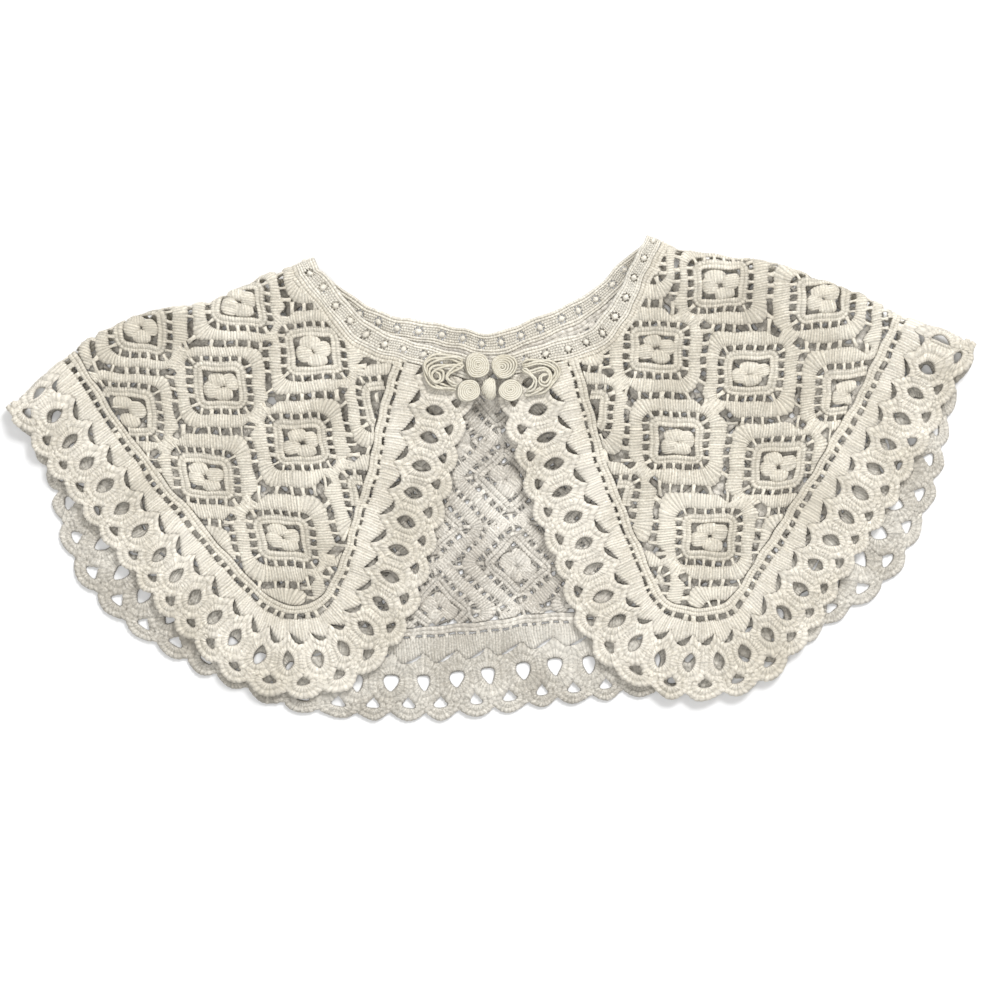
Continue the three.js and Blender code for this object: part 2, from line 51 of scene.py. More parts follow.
# How high the front layer lies: at its hem, then how much more near the neck, the folds and a corner
HEM_LIFT = 5.6
NECK_LIFT, NECK_REACH = 6.4, 62
FOLD_LIFT, FOLD_REACH = 4, 26
RIGHT_RISE, RIGHT_REACH = 4, 34
FLUTE, FLUTE_X, FLUTE_Y = 0.6, 21, 27
# Neckband: its width, its gap to the lace, the length of a free end, and its tilt in degrees
BAND_WIDTH = 12.4
BAND_GAP = 0.45
FRONT_END = 41
BAND_TILT, FOLD_TILT, TILT_REACH = 3, 40, 42
# Border: how its direction turns to a fold's near the ends of a seam, its row of holes and its scallops
TURN_REACH = 0.13
SMOOTHING = 14
HOLE_AT = 23.5
BORDER_WIDTH = 43
SCALLOP_DEPTH = 4.3
SPREAD_BACK, SPREAD_CORNER, CORNER_REACH = 3, 3, 0.12
SCALLOPS = {"left": 26, "right": 28, "back": 37}
FIRST = {"left": 0.64, "right": 0.6, "back": 0}
CORNER = {"left": 0.46, "right": 0.42}

LINES = {
    "leftFold": [(-97, 122), (-109, 117), (-127, 111), (-154, 98), (-180, 94), (-210, 84),
                 (-235, 67), (-268, 39)],
    "rightFold": [(81, 135), (93, 131), (105, 126), (131, 122), (156, 119), (197, 104),
                  (227, 90), (267, 75)],
    "leftNeck": [(-49, 64), (-64, 69), (-77, 77), (-89, 90), (-98, 101)],
    "rightNeck": [(42, 65), (62, 73), (73, 86), (80, 98), (86, 114)],
    "backNeck": [(-94, 99), (-74, 84), (-56, 77), (-37, 75), (-20, 71), (-1, 67), (15, 72),
                 (32, 78), (51, 87), (66, 98), (80, 114)],
    "leftSeam": [(-49, 64), (-54, 45), (-64, 3), (-74, -32), (-81, -53), (-87, -65), (-96, -73),
                 (-106, -76), (-118, -74), (-128, -67), (-148, -47), (-172, -19), (-194, 9),
                 (-214, 36)],
    "rightSeam": [(42, 65), (48, 43), (61, 0), (77, -38), (84, -56), (91, -68), (101, -75),
                  (115, -77), (129, -74), (139, -64), (160, -32), (186, 10), (207, 47)],
    "backSeam": [(-215, 35), (-202, 7), (-196, -20), (-180, -44), (-143, -66), (-107, -82),
                 (-78, -87), (-52, -88), (-18, -86), (26, -80), (70, -76), (103, -73), (134, -63),
                 (160, -46), (186, -28), (201, -2), (208, 27), (215, 54)],
}

# Medallions: middle, then how far the crosswise and the upright lines lean, in degrees
MEDALLIONS = {
    "left": [
        (-98, 69.5, -2, 6), (-105, 20, -2, 9), (-115, -33, 2, 10), (-139, 96.5, 4, 4),
        (-149.5, 51, 3, 6), (-157.5, 1, 2, 8), (-193.5, 82, 8, 2), (-200, 37, 6, 4),
        (-55.5, 40.5, 0, 10), (-63.5, -11, 0, 12), (-91.5, 119, 0, 4), (-166, -50, 0, 8),
        (-245, 69, 10, 2), (-72, -63, 0, 12), (-124, -84, 2, 10), (-207, -11, 4, 6),
        (-46, 90, 0, 8), (-132, 146, 4, 4), (-186, 131, 8, 2), (-238, 118, 10, 2),
    ],
    "right": [
        (90, 70.5, 0, 0), (101.5, 20.5, 0, 0), (119.5, -32, 0, -4), (125, 106.5, -4, -2),
        (142, 58, -3, -4), (157, 7, -3, -6), (182, 99, -8, 0), (196.5, 48, -6, -4),
        (48, 36, 0, -6), (61.5, -13, 0, -8), (77, 122, 0, 0), (172, -43, -3, -6),
        (232, 86, -10, -2), (78, -64, 0, -8), (133, -83, 0, -4), (211, -2, -4, -6),
        (38, 84, 0, -4), (112, 156, -4, -2), (170, 148, -6, 0), (222, 134, -8, 0),
        (247, 35, -8, -4),
    ],
    "back": [],
}
# The back's medallions: the first, the two steps of their lattice, and their turn to upright diamonds
BACK_START = (8, -1)
BACK_STEP_A = (-43, -24)
BACK_STEP_B = (6, -47)
BACK_STEPS = range(-6, 8)
BACK_TURN = 45
# Boxes as x from and to, y from and to: how far the back's cloth reaches, and where it shows
BACK_CLOTH = (-260, 260, -125, 150)
BACK_SHOWS = ((-75, 70, -130, 20), (-20, 20, 20, 50))


def within(box, x, y):
    return box[0] < x < box[1] and box[2] < y < box[3]


for i in BACK_STEPS:
    for j in BACK_STEPS:
        x = BACK_START[0] + i * BACK_STEP_A[0] + j * BACK_STEP_B[0]
        y = BACK_START[1] + i * BACK_STEP_A[1] + j * BACK_STEP_B[1]
        if within(BACK_CLOTH, x, y):
            MEDALLIONS["back"].append((x, y, BACK_TURN, -BACK_TURN))

# Points of a smooth line for each stretch between two given ones
SPLINE_STEPS = 40


def spline(points):
    """A dense Catmull-Rom line through the points."""
    p = np.array(points, float)
    around = np.vstack([p[:1], p, p[-1:]])
    t = np.linspace(0, 1, SPLINE_STEPS, endpoint=False)[:, None]
    parts = []
    for a, b, c, d in zip(around, around[1:], around[2:], around[3:]):
        leave, arrive = (c - a) / 2, (d - b) / 2
        parts.append((2 * t**3 - 3 * t**2 + 1) * b + (t**3 - 2 * t**2 + t) * leave
                     + (3 * t**2 - 2 * t**3) * c + (t**3 - t**2) * arrive)
    return np.vstack(parts + [p[-1:]])


def run_along(points):
    """How far along a line each of its points is."""
    return np.concatenate([[0], np.cumsum(np.linalg.norm(np.diff(points, axis=0), axis=1))])


class Line:
    """A plan line by its length, which runs on straight past its ends."""

    def __init__(self, points, smooth=True):
        self.dense = spline(points) if smooth else points
        self.run = run_along(self.dense)
        self.length = self.run[-1]

    def inside(self, s):
        s = np.clip(s, 0, self.length)
        return np.stack([np.interp(s, self.run, axis) for axis in self.dense.T], -1)

    def along(self, s, reach=0.5):
        s = np.clip(s, reach, self.length - reach)
        ahead = self.inside(s + reach) - self.inside(s - reach)
        return ahead / np.linalg.norm(ahead, axis=-1, keepdims=True)

    def at(self, s):
        s = np.asarray(s, float)
        past = s - np.clip(s, 0, self.length)
        return self.inside(s) + past[..., None] * self.along(s)[..., :2]


def unit(v):
    return v / np.maximum(np.linalg.norm(v, axis=-1, keepdims=True), 1e-9)


def smoothstep(x, low, high):
    t = np.clip((x - low) / (high - low), 0, 1)
    return t * t * (3 - 2 * t)


def fade(distance, reach):
    return np.exp(-((distance / reach) ** 2))


def circle(a):
    """Points of a circle of radius 1, at angles."""
    return np.stack([np.cos(a), np.sin(a)], -1)


def full_turn(count):
    """Even angles round a circle."""
    return np.arange(count) / count * 2 * math.pi


def axes_at(a):
    """The direction at an angle, and the one a quarter turn on."""
    return np.array([(math.cos(a), math.sin(a)), (-math.sin(a), math.cos(a))])


def level(points, value):
    """The points with one more coordinate, the same for all."""
    return np.column_stack([points, np.full(len(points), value)])


def smooth_round(values, reach):
    """Means along a closed loop, each over a value and its neighbours up to reach places away."""
    around = np.concatenate([values[-reach:], values, values[:reach]]).astype(float)
    return np.convolve(around, np.ones(2 * reach + 1) / (2 * reach + 1), "valid")


# Shoulder folds, and the points of their lines where the neck and the seam meet them
FOLD_NECK, FOLD_SEAM = 1, 6
FOLDS = {}
for side, turn in (("left", 1), ("right", -1)):
    line = Line(LINES[side + "Fold"])
    neck, seam = (line.run[point * SPLINE_STEPS] for point in (FOLD_NECK, FOLD_SEAM))
    FOLDS[side] = {"line": line, "turn": turn, "neck": neck, "seam": seam}


def fold_at(side, s):
    """The silhouette point, the direction along it, the way inwards, and the edge of the flat cloth."""
    fold = FOLDS[side]
    along = fold["line"].along(s)
    inward = np.stack([-along[..., 1], along[..., 0]], -1) * fold["turn"]
    point = fold["line"].at(s)
    return point, along, inward, point + inward * (LACE / 2 + FOLD_RADIUS)


# Fields over the plan, on a grid
GRID_STEP = 2
GRID_X = np.arange(-300, 301, GRID_STEP)
GRID_Y = np.arange(-160, 171, GRID_STEP)
GRID = np.stack(np.meshgrid(GRID_X, GRID_Y, indexing="ij"), -1).reshape(-1, 2).astype(float)


def nearest(points, samples, chunk=2000):
    """For each point, the nearest sample and its distance."""
    index = np.empty(len(points), int)
    distance = np.empty(len(points))
    for start in range(0, len(points), chunk):
        part = points[start:start + chunk]
        gap = ((part[:, None] - samples[None]) ** 2).sum(-1)
        index[start:start + chunk] = gap.argmin(1)
        distance[start:start + chunk] = np.sqrt(gap.min(1))
    return index, distance


def field(values):
    return values.reshape(len(GRID_X), len(GRID_Y))


def sample(values, p):
    """A field at plan points, bilinear."""
    x = np.clip((p[..., 0] - GRID_X[0]) / GRID_STEP, 0, len(GRID_X) - 1.001)
    y = np.clip((p[..., 1] - GRID_Y[0]) / GRID_STEP, 0, len(GRID_Y) - 1.001)
    i, j = x.astype(int), y.astype(int)
    u, v = x - i, y - j
    return ((values[i, j] * (1 - v) + values[i, j + 1] * v) * (1 - u)
            + (values[i + 1, j] * (1 - v) + values[i + 1, j + 1] * v) * u)


# Points along a fold line, and how far past its ends its field reaches
FOLD_SAMPLES, PAST_FOLD = 61, 60
neck_points = np.array(LINES["leftNeck"] + LINES["rightNeck"], float)
fold_points = np.vstack([fold["line"].at(np.linspace(0, fold["line"].length, FOLD_SAMPLES))
                         for fold in FOLDS.values()])
RIGHT_NECK_FOLD = np.array(LINES["rightFold"][1], float)
HEIGHT = field(
    HEM_LIFT
    + NECK_LIFT * fade(nearest(GRID, neck_points)[1], NECK_REACH)
    + FOLD_LIFT * fade(nearest(GRID, fold_points)[1], FOLD_REACH)
    + RIGHT_RISE * fade(np.linalg.norm(GRID - RIGHT_NECK_FOLD, axis=1), RIGHT_REACH)
    + FLUTE * np.sin(GRID[:, 0] / FLUTE_X) * np.cos(GRID[:, 1] / FLUTE_Y)
)
for side, fold in FOLDS.items():
    stations = np.arange(-PAST_FOLD, fold["line"].length + PAST_FOLD)
    _, along, inward, edge = fold_at(side, stations)
    index, _ = nearest(GRID, edge)
    apart = GRID - edge[index]
    fold["past"] = field(-(apart * inward[index]).sum(1))
    fold["station"] = field(stations[index] + (apart * along[index]).sum(1))


def front_height(p):
    return sample(HEIGHT, p)


def arc_at(side, s):
    """Of a shoulder fold: half the height it bridges, its middle height and its length round."""
    top = front_height(fold_at(side, s)[3])
    half = (top - LACE / 2) / 2
    return half, LACE / 2 + half, math.pi * np.sqrt((FOLD_RADIUS**2 + half**2) / 2)


def round_fold(side, s, angle, h):
    """A point round a fold: angle 90 degrees on the front, 0 at the silhouette, -90 on the back."""
    _, _, inward, edge = fold_at(side, s)
    half, middle, _ = arc_at(side, s)
    cos, sin = np.cos(angle)[:, None], np.sin(angle)
    out = unit(np.column_stack([-inward * half[:, None] * cos, FOLD_RADIUS * sin]))
    base = np.column_stack([edge - inward * FOLD_RADIUS * cos, middle + half * sin])
    return base + out * h[:, None]


def lay_front(side):
    """Lays flat lace on a front, and round its shoulder fold where it runs past the edge."""
    def lay(p, h):
        past = sample(FOLDS[side]["past"], p)
        out = np.column_stack([p, front_height(p) + h])
        over = past > 0
        if over.any():
            s, past, h = sample(FOLDS[side]["station"], p[over]), past[over], h[over]
            length = arc_at(side, s)[2]
            angle = math.pi / 2 - math.pi * np.minimum(past / length, 1)
            wrapped = round_fold(side, s, angle, h)
            wrapped[:, :2] += fold_at(side, s)[2] * np.maximum(past - length, 0)[:, None]
            out[over] = wrapped
        return out
    return lay


def lay_back(p, h):
    """Lays flat lace on the ground, wrong side up, where its relief is flatter."""
    return np.column_stack([p, LACE / 2 + BACK_RELIEF * h])


# Seams by piece and edge: each a plan line and the direction away from the body along it
def fold_end(side, edge):
    """Of a fold where an edge of the cloth meets it: what fold_at gives, and the length round it."""
    station = np.array([FOLDS[side][edge]])
    return (*(row[0] for row in fold_at(side, station)), arc_at(side, station)[2][0])


def turned(line, sign, start, end, edge):
    """The outward direction at a share of a seam, which turns to the folds' direction at its ends."""
    def outward(share):
        s = np.asarray(share, float) * line.length
        ahead = line.inside(s + SMOOTHING)
        along = unit(ahead - line.inside(s - SMOOTHING))
        out = np.stack([-along[..., 1], along[..., 0]], -1) * sign
        for side, weight in ((start, 1 - smoothstep(share, 0, TURN_REACH)),
                             (end, smoothstep(share, 1 - TURN_REACH, 1))):
            if side:
                out = out + (fold_end(side, edge)[1] * TOWARD[edge] - out) * weight[..., None]
        return unit(out)
    return outward


# Whether the way along a fold leads out of the cloth at each edge, or into it
TOWARD = {"seam": 1, "neck": -1}
SEAMS = {}
for edge, toward in TOWARD.items():
    ends = {side: tuple(fold_end(side, edge)[3]) for side in FOLDS}
    for side, fold in FOLDS.items():
        line = Line(LINES[side + edge.title()] + [ends[side]])
        SEAMS[side, edge] = (line, turned(line, fold["turn"] * toward, None, side, edge))
    line = Line([ends["left"]] + LINES["back" + edge.title()] + [ends["right"]])
    SEAMS["back", edge] = (line, turned(line, -toward, "left", "right", edge))


def seam_point(name, share, width):
    line, outward = SEAMS[name, "seam"]
    return line.inside(share * line.length) + outward(share) * np.asarray(width)[..., None]


def edge_samples(name, edge, step):
    """Even points of a seam with their outward directions, for a front on round its fold."""
    line, outward = SEAMS[name, edge]
    s = np.arange(0, line.length, step)
    points, out = line.inside(s), outward(s / line.length)
    if name in FOLDS:
        _, along, inward, end, length = fold_end(name, edge)
        past = np.arange(0, length, step)[:, None]
        points = np.vstack([points, end - inward * past])
        out = np.vstack([out, np.repeat(along[None] * TOWARD[edge], len(past), 0)])
    return points, out


# Regions of the body: how far in from an edge its cords reach, and the points along a shoulder
SEAM_INSET = 5.2
NECK_INSET = 2.0
SHOULDER_POINTS = 60
# The depth that stands for any place outside a region
OUTSIDE = -9


def region(name):
    """The lines of a region's outline, each with how much of the cloth its cords fill, if it has any."""
    def shoulder(side, wrap):
        s = np.linspace(FOLDS[side]["neck"], FOLDS[side]["seam"], SHOULDER_POINTS)
        _, _, inward, edge = fold_at(side, s)
        return edge - inward * arc_at(side, s)[2][:, None] * wrap

    neck = edge_samples(name, "neck", 1)[0], NECK_INSET
    seam = edge_samples(name, "seam", 1)[0][::-1], SEAM_INSET
    if name == "back":
        return [neck, (shoulder("right", 0), None), seam, (shoulder("left", 0)[::-1], None)]
    return [neck, (shoulder(name, 1), None), seam]


def depth_inside(parts):
    """The field of how deep a plan point is inside a region, past the cords at its edges; its outline."""
    outline = np.vstack([part for part, _ in parts])
    ahead = np.roll(outline, -1, axis=0)
    inside = np.zeros(len(GRID), bool)
    for (x0, y0), (x1, y1) in zip(outline, ahead):
        if y0 != y1:
            crosses = (GRID[:, 1] > y0) != (GRID[:, 1] > y1)
            inside ^= crosses & (GRID[:, 0] < (x1 - x0) * (GRID[:, 1] - y0) / (y1 - y0) + x0)
    depths = [nearest(GRID, part)[1] - inset for part, inset in parts if inset is not None]
    return field(np.where(inside, np.min(depths, 0), OUTSIDE)), outline


def signed_area(outline):
    x, y = outline.T
    return (x * np.roll(y, -1) - y * np.roll(x, -1)).sum() / 2


# Size, wave length over two pi, direction and start, in turn for x, y and z
WOBBLES = (
    (0.40, 5.1, 0.4, 0.3), (0.40, 5.6, 1.9, 1.1), (0.16, 3.3, 0.9, 2.0),
    (0.35, 7.7, 2.3, 2.2), (0.35, 6.9, 0.2, 0.6), (0.16, 4.1, 2.2, 0.4),
    (0.32, 2.3, 1.2, 4.0), (0.32, 2.6, 2.8, 5.1), (0.12, 2.1, 1.5, 1.7),
)


def wobble(p):
    """How far the handwork strays from its plan, and how it rises and dips, in mm."""
    x, y = p[:, 0], p[:, 1]
    shift = np.zeros((len(p), 3))
    for k, (size, wave, turn, start) in enumerate(WOBBLES):
        run = (x * math.cos(turn) + y * math.sin(turn)) / wave + start
        shift[:, k % 3] += size * np.sin(run)
    return shift


# A millimetre in metres, and the least height above the ground
MM = 0.001
GROUND_GAP = 0.02


class Flat:
    """A piece drawn flat, as closed strips of rings of points (x, y, h)."""

    def __init__(self):
        self.points, self.tones, self.quads, self.tris, self.count = [], [], [], [], 0

    def strip(self, rings, closed=False):
        rings, tone = rings[..., :3], rings[..., 3] if rings.shape[2] > 3 else np.ones(rings.shape[:2])
        travel = np.gradient(rings.mean(1), axis=0)
        ahead = np.roll(rings, -1, axis=1)
        if (np.cross(rings, ahead).sum(1) * travel).sum() < 0:
            rings, tone = rings[:, ::-1], tone[:, ::-1]
        n, m = rings.shape[:2]
        i = np.arange(n if closed else n - 1)[:, None]
        j = np.arange(m)[None]
        k, l = (i + 1) % n, (j + 1) % m
        quads = np.stack([i * m + j, i * m + l, k * m + l, k * m + j], -1).reshape(-1, 4)
        self.quads.append(quads + self.count)
        if not closed:
            fan = np.array([(0, a + 1, a) for a in range(1, m - 1)])
            self.tris.append(fan + self.count)
            self.tris.append(fan[:, ::-1] + self.count + (n - 1) * m)
        self.points.append(rings.reshape(-1, 3))
        self.tones.append(tone.ravel())
        self.count += n * m

    def runs(self, rings, keep):
        """Strips for each run of the rings of a closed loop that are kept."""
        if keep.all():
            self.strip(rings, closed=True)
            return
        if not keep.any():
            return
        first = np.flatnonzero(~keep)[0]
        self.parts(np.roll(rings, -first, axis=0), np.roll(keep, -first))

    def parts(self, rings, keep):
        """Strips for each run of the rings of an open line that are kept."""
        edges = np.flatnonzero(np.diff(np.concatenate([[0], keep.astype(int), [0]])))
        for a, b in edges.reshape(-1, 2):
            if b - a > 2:
                self.strip(rings[a:b])

    def build(self, name, lay, nodes, slot, material):
        """The piece: its strips laid in place by lay(plan points, heights), as one mesh."""
        points = np.vstack(self.points)
        points = lay(points[:, :2], points[:, 2])
        points += wobble(points[:, :2])
        points[:, 2] = np.maximum(points[:, 2], GROUND_GAP)
        quads = np.vstack(self.quads)
        tris = np.vstack(self.tris) if self.tris else np.zeros((0, 3), int)
        a, b, c = (points[quads[:, k]] for k in (0, 1, 2))
        if (np.cross(b - a, c - a) * (a - points.mean(0))).sum() < 0:
            quads, tris = quads[:, ::-1], tris[:, ::-1]
        mesh = bpy.data.meshes.new(name)
        mesh.from_pydata(points * MM, [], quads.tolist() + tris.tolist())
        mesh.shade_smooth()
        # Per point: painted shade with the tone that varies by hand, which the material multiplies into the
        # colour
        tone = mesh.attributes.new("tone", "FLOAT", "POINT")
        tone.data.foreach_set("value", np.concatenate(self.tones).astype(np.float32))
        mesh.validate()
        obj = bpy.data.objects.new(name, mesh)
        bpy.context.scene.collection.objects.link(obj)
        obj.data.materials.append(material)
        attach(obj, "root")
        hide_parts(*nodes)
        return obj


# Sections, as (share of the width, height) round the cord
PAD = np.array([(0, -0.15), (0.07, 0.6), (0.28, 0.97), (0.72, 0.97), (0.93, 0.6), (1, -0.15),
                (0.8, -0.9), (0.2, -0.9)])
EDGE = np.array([(0, -0.1), (0.07, 0.65), (0.28, 1.0), (0.8, 1.0), (1, 0.8), (1, -0.3), (0.7, -0.9),
                 (0.2, -0.9)])
FAN = np.array([(0, -0.1), (0.12, 0.9), (0.42, 1.05), (0.52, 0.15), (0.62, 1.05), (1, 0.8), (1, -0.3),
                (0.35, -0.9)])
BRAID = np.array([(0, 0.1), (0.13, 0.95), (0.39, 1.0), (0.5, -0.1), (0.61, 1.0), (1, 0.3), (0.5, -0.8)])
CORD = np.array([(0, 0), (0.15, 0.75), (0.5, 1), (0.85, 0.75), (1, 0), (0.5, -0.85)])
THREAD = np.array([(0, 0), (0.5, 1), (1, 0), (0.5, -1)])

# How each kind of cord looks: height, section, depth of its grooves and tone
LOOKS = {
    "outer": (1.25, PAD, 0.3, 1), "braid": (1.1, BRAID, 0.22, 1), "pad": (1.7, PAD, 0.2, 1),
    "bar": (0.75, CORD, 0, 1), "seam": (1.1, CORD, 0.2, 1), "net": (0.6, THREAD, 0, 0.55),
    "edge": (1.2, EDGE, 0.24, 1), "fan": (1.2, FAN, 0.2, 1), "rail": (1.15, CORD, 0.14, 1),
    "row": (0.8, CORD, 0.3, 0.92), "hold": (0.5, CORD, 0, 1),
}
# Where the rings of one rib are, as shares of its pitch: first its groove, then its two shoulders
RIB_RINGS = np.array([0, 0.32, 0.68])


def rib_steps(count):
    """Shares of a line, three for each rib."""
    return ((np.arange(count)[:, None] + RIB_RINGS) / count).ravel()


# Ribs: how much one rises and widens the band; then painted shade, darker down the sides and under each
# cord, as its base, its rise with height and its least value; then how tone varies by hand
RIB_RISE, RIB_WIDEN = 0.3, 0.22
SIDE_SHADE, SHADE_RISE, DEEPEST_SHADE = 0.82, 0.2, 0.79
RIB_TONE, FIBRE_TONE = 0.05, 0.08


def ribbed(inner, outer, look, scale=1):
    """Rings across a band from its inner to its outer line, as ribs with a groove before each."""
    height, section, depth, shade = LOOKS[look]
    n = len(inner)
    ribs = np.repeat(rng.standard_normal(n // 3 + 1), 3)[:n]
    groove = np.arange(n) % 3 == 0
    rise = np.where(groove, -depth, depth * RIB_RISE * (1 + ribs)) if depth else np.zeros(n)
    across = (section[None, :, 0] - 0.5) * (1 + RIB_WIDEN * rise[:, None]) + 0.5
    plan = inner[:, None] + (outer - inner)[:, None] * across[..., None]
    height = np.broadcast_to(height * scale, (n,))[:, None]
    h = section[None, :, 1] * height * (1 + rise[:, None])
    # Painted shade: each cord darker down its sides and underneath, and darker again in the groove before
    # each rib
    tone = np.clip(SIDE_SHADE + SHADE_RISE * section[:, 1], DEEPEST_SHADE, 1)[None]
    tone = tone * (1 + RIB_TONE * ribs[:, None]) * np.where(groove, 1 - depth, 1)[:, None]
    tone = tone * (1 + FIBRE_TONE * rng.standard_normal(h.shape)) * shade
    return np.concatenate([plan, h[..., None], tone[..., None]], -1)


def corded(middle, half, look):
    """Rings along a middle line, half as wide as given to each side."""
    return ribbed(middle - half, middle + half, look)


# Points round a rounded rectangle's corner, and the reach over which its direction is measured
CORNER_POINTS, ALONG_REACH = 12, 0.2


def rounded(half_x, half_y, corner, share):
    """Points at shares of the way round a rounded rectangle, and their outward normals."""
    parts = []
    for k, signs in enumerate(((1, 1), (-1, 1), (-1, -1), (1, -1))):
        a = np.linspace(0, math.pi / 2, CORNER_POINTS) + k * math.pi / 2
        parts.append(np.array([half_x - corner, half_y - corner]) * signs + corner * circle(a))
    outline = np.vstack(parts)
    line = Line(np.vstack([outline, outline[:1]]), smooth=False)
    s = share * line.length
    along = line.along(s, ALONG_REACH)
    return line.inside(s), np.stack([along[:, 1], -along[:, 0]], -1)


# Medallion sizes, in pairs crosswise and upright: the padded band, the ladder ring inside it, the gaps
# to a neighbour, the braid, and the satin blocks
OUTER_MIDDLE = (21.3, 18.9)
OUTER_WIDTH = 6.7
OUTER_CORNER = 9.5
OUTER_REACH = 29.5
RING = (16.7, 14.4)
RING_CORNER = 5.5
RING_REACH = 18.1
RING_BARS = 22
UPRIGHT_STRETCH, SQUARENESS = 1.153, 9
SIDE_GAP, END_GAP = 2.3, 3.6
SHARED_BELOW = 24
BRAID_OUTER = (15.4, 13.3)
BRAID_WIDTH = 5.8
BRAID_CORNER = 3.6
PAD_MIDDLE, PAD_HALF = -1.6, 4.5
PAD_ASIDE, PAD_DEEP = 4.0, 3.9
PAD_STRETCH = (1.26, 1)
PAD_TILT = 5
RIB = 1.5
COARSE_RIB = 4.2
# Outer band: how far and how finely its edges are sought, how near its neighbours are, its least width,
# how far its edge may stray from the mean, and how its height follows its width and overlap
SEEK, SEEK_STEP, NEIGHBOUR = 15, 0.3, 75
LEAST_WIDTH, EASE = 1.2, 0.4
FULL_WIDTH, THINNEST, UNDER_DROP = 4, 0.55, 0.18
# Satin blocks: ribs, where they start, how round their ends are, how they vary, and how low they end
PAD_RIBS, COARSE_PAD_RIBS = 7, 3
PAD_START, PAD_END, PAD_POWER = 0.96, 1.02, 2.3
PAD_TURN, PAD_SWAY = 4, 0.45
PAD_LOW = 0.2
# Bars: width and waist, then the spacing and lengths of those between bands, and how far they sink in
BAR = 1.9
WAIST, WAIST_VARIES = (1.3, 0.85, 1.3), 0.18
BRIDGE_BAR, BRIDGE_PITCH = 1.1 * BAR, 6
BRIDGE_LENGTH, BRIDGE_SINK = (1, 7.5), 0.9
LADDER_HALF = 2.3
# How deep inside the cloth each kind of thread begins
DEPTHS = {"outer": 0.2, "pads": 0.4, "net": 0.5, "braid": 0.6, "ladder": 0.8}
# On the back, whose lace is matted: how much its bands spread, and how much squarer they turn
MATTED = 0.28
SQUARER = 0.55
# How much that spreading narrows the gaps, closes up the bars and stretches the satin blocks
MATTED_GAP, MATTED_PITCH, MATTED_PAD = 1.2, 3, 0.14


class Medallion:
    """A medallion's middle and two axes, and how finely and how matted it is drawn."""

    def __init__(self, index, back, x, y, across, upright):
        self.index = index
        self.middle = np.array([x, y], float)
        a, b = math.radians(-across), math.radians(90 + upright)
        self.axes = np.array([(math.cos(a), math.sin(a)), (math.cos(b), math.sin(b))])
        self.inverse = np.linalg.inv(self.axes)
        self.coarse = back and not any(within(box, x, y) for box in BACK_SHOWS)
        self.rib = COARSE_RIB if self.coarse else RIB
        self.matted, self.squarer = (MATTED, SQUARER) if back else (0, 1)

    def place(self, p):
        return self.middle + p @ self.axes

    def measure(self, p):
        """How far out a plan point is, as the half width of a square."""
        q = np.abs((p - self.middle) @ self.inverse)
        q = q * (1, UPRIGHT_STRETCH)
        return (q ** SQUARENESS).sum(-1) ** (1 / SQUARENESS)

    def loop(self, half, corner, share=None):
        """Plan points and normals of a rounded rectangle, at its ribs or at shares; its upright normals."""
        corner = corner * self.squarer
        if share is None:
            way_round = 4 * sum(half) - (8 - 2 * math.pi) * corner
            share = rib_steps(int(way_round / self.rib))
        points, normals = rounded(*half, corner, share)
        return self.place(points), unit(normals @ self.axes), normals


def bar(flat, start, end, width):
    """A short thick thread from one plan point to another."""
    ahead = unit(end - start)
    side = np.array([-ahead[1], ahead[0]]) * width / 2
    middles = start + (end - start) * np.array([0, 0.5, 1])[:, None]
    waist = np.array(WAIST)[:, None] * (1 + WAIST_VARIES * rng.standard_normal())
    flat.strip(corded(middles, side * waist, "bar"))


def draw_outer(flat, medallion, others, depth):
    """The padded band, grown until it meets a neighbour or the cloth's edge, and its bars to the next."""
    middle, normal, normals = medallion.loop(OUTER_MIDDLE, OUTER_CORNER)
    matted = medallion.matted
    reach = np.arange(-OUTER_WIDTH / 2 - matted, SEEK, SEEK_STEP)
    rays = middle[:, None] + normal[:, None] * reach[None, :, None]
    own = medallion.measure(rays)
    theirs = np.array([other.measure(rays) for other in others])
    closest = theirs.argmin(0)
    theirs = theirs.min(0)
    row = np.arange(len(rays))
    meet = (theirs < own).argmax(1)
    meets = (theirs < own).any(1)
    who = np.where(meets, np.array([other.index for other in others])[closest[row, meet]], -1)
    shared = meets & (own[row, meet] < SHARED_BELOW)
    gap = SIDE_GAP + (END_GAP - SIDE_GAP) * np.abs(normals[:, 1])
    gap = gap[:, None] * (1 - MATTED_GAP * matted)
    clear = np.where(shared[:, None], theirs > RING_REACH - matted, theirs - own > gap)
    inside = sample(depth, rays) > DEPTHS["outer"]
    first = inside.argmax(1)
    stopped = ~(clear & (own < OUTER_REACH) & inside) & (np.arange(len(reach)) >= first[:, None])
    stops = np.where(stopped.any(1), stopped.argmax(1), len(reach))
    begin = reach[first]
    limit = np.where(inside.any(1) & (stops > first), reach[np.clip(stops - 1, 0, None)], begin)
    limit = np.minimum(limit + EASE, smooth_round(limit, 3))
    inner, outer = (middle + normal * at[:, None] for at in (begin, limit))
    width = limit - begin
    keep = width > LEAST_WIDTH
    # Where two bands share the room between two rings, one lies on the other
    under = smooth_round(shared & (who < medallion.index), 4)
    scale = np.clip(width / FULL_WIDTH, THINNEST, 1) * (1 - UNDER_DROP * under)
    flat.runs(ribbed(inner, outer, "outer", scale), keep)
    # Bars leave the band at every few ribs, for the neighbour's band or for the cords at the cloth's edge
    far = ((theirs - own < -gap) | ~inside) & (reach[None] > limit[:, None])
    landing = far.argmax(1)
    bridge = np.where(far.any(1), reach[landing] - limit, np.inf)
    leaves = ~inside[row, landing]
    least, most = BRIDGE_LENGTH
    for k in range(0, len(row), 3 * round((BRIDGE_PITCH - MATTED_PITCH * matted) / medallion.rib)):
        reaches = least < bridge[k] < most and (leaves[k] or who[k] > medallion.index)
        if keep[k] and not shared[k] and reaches:
            end = outer[k] + normal[k] * (bridge[k] + BRIDGE_SINK)
            bar(flat, outer[k] - normal[k] * BRIDGE_SINK, end, BRIDGE_BAR)


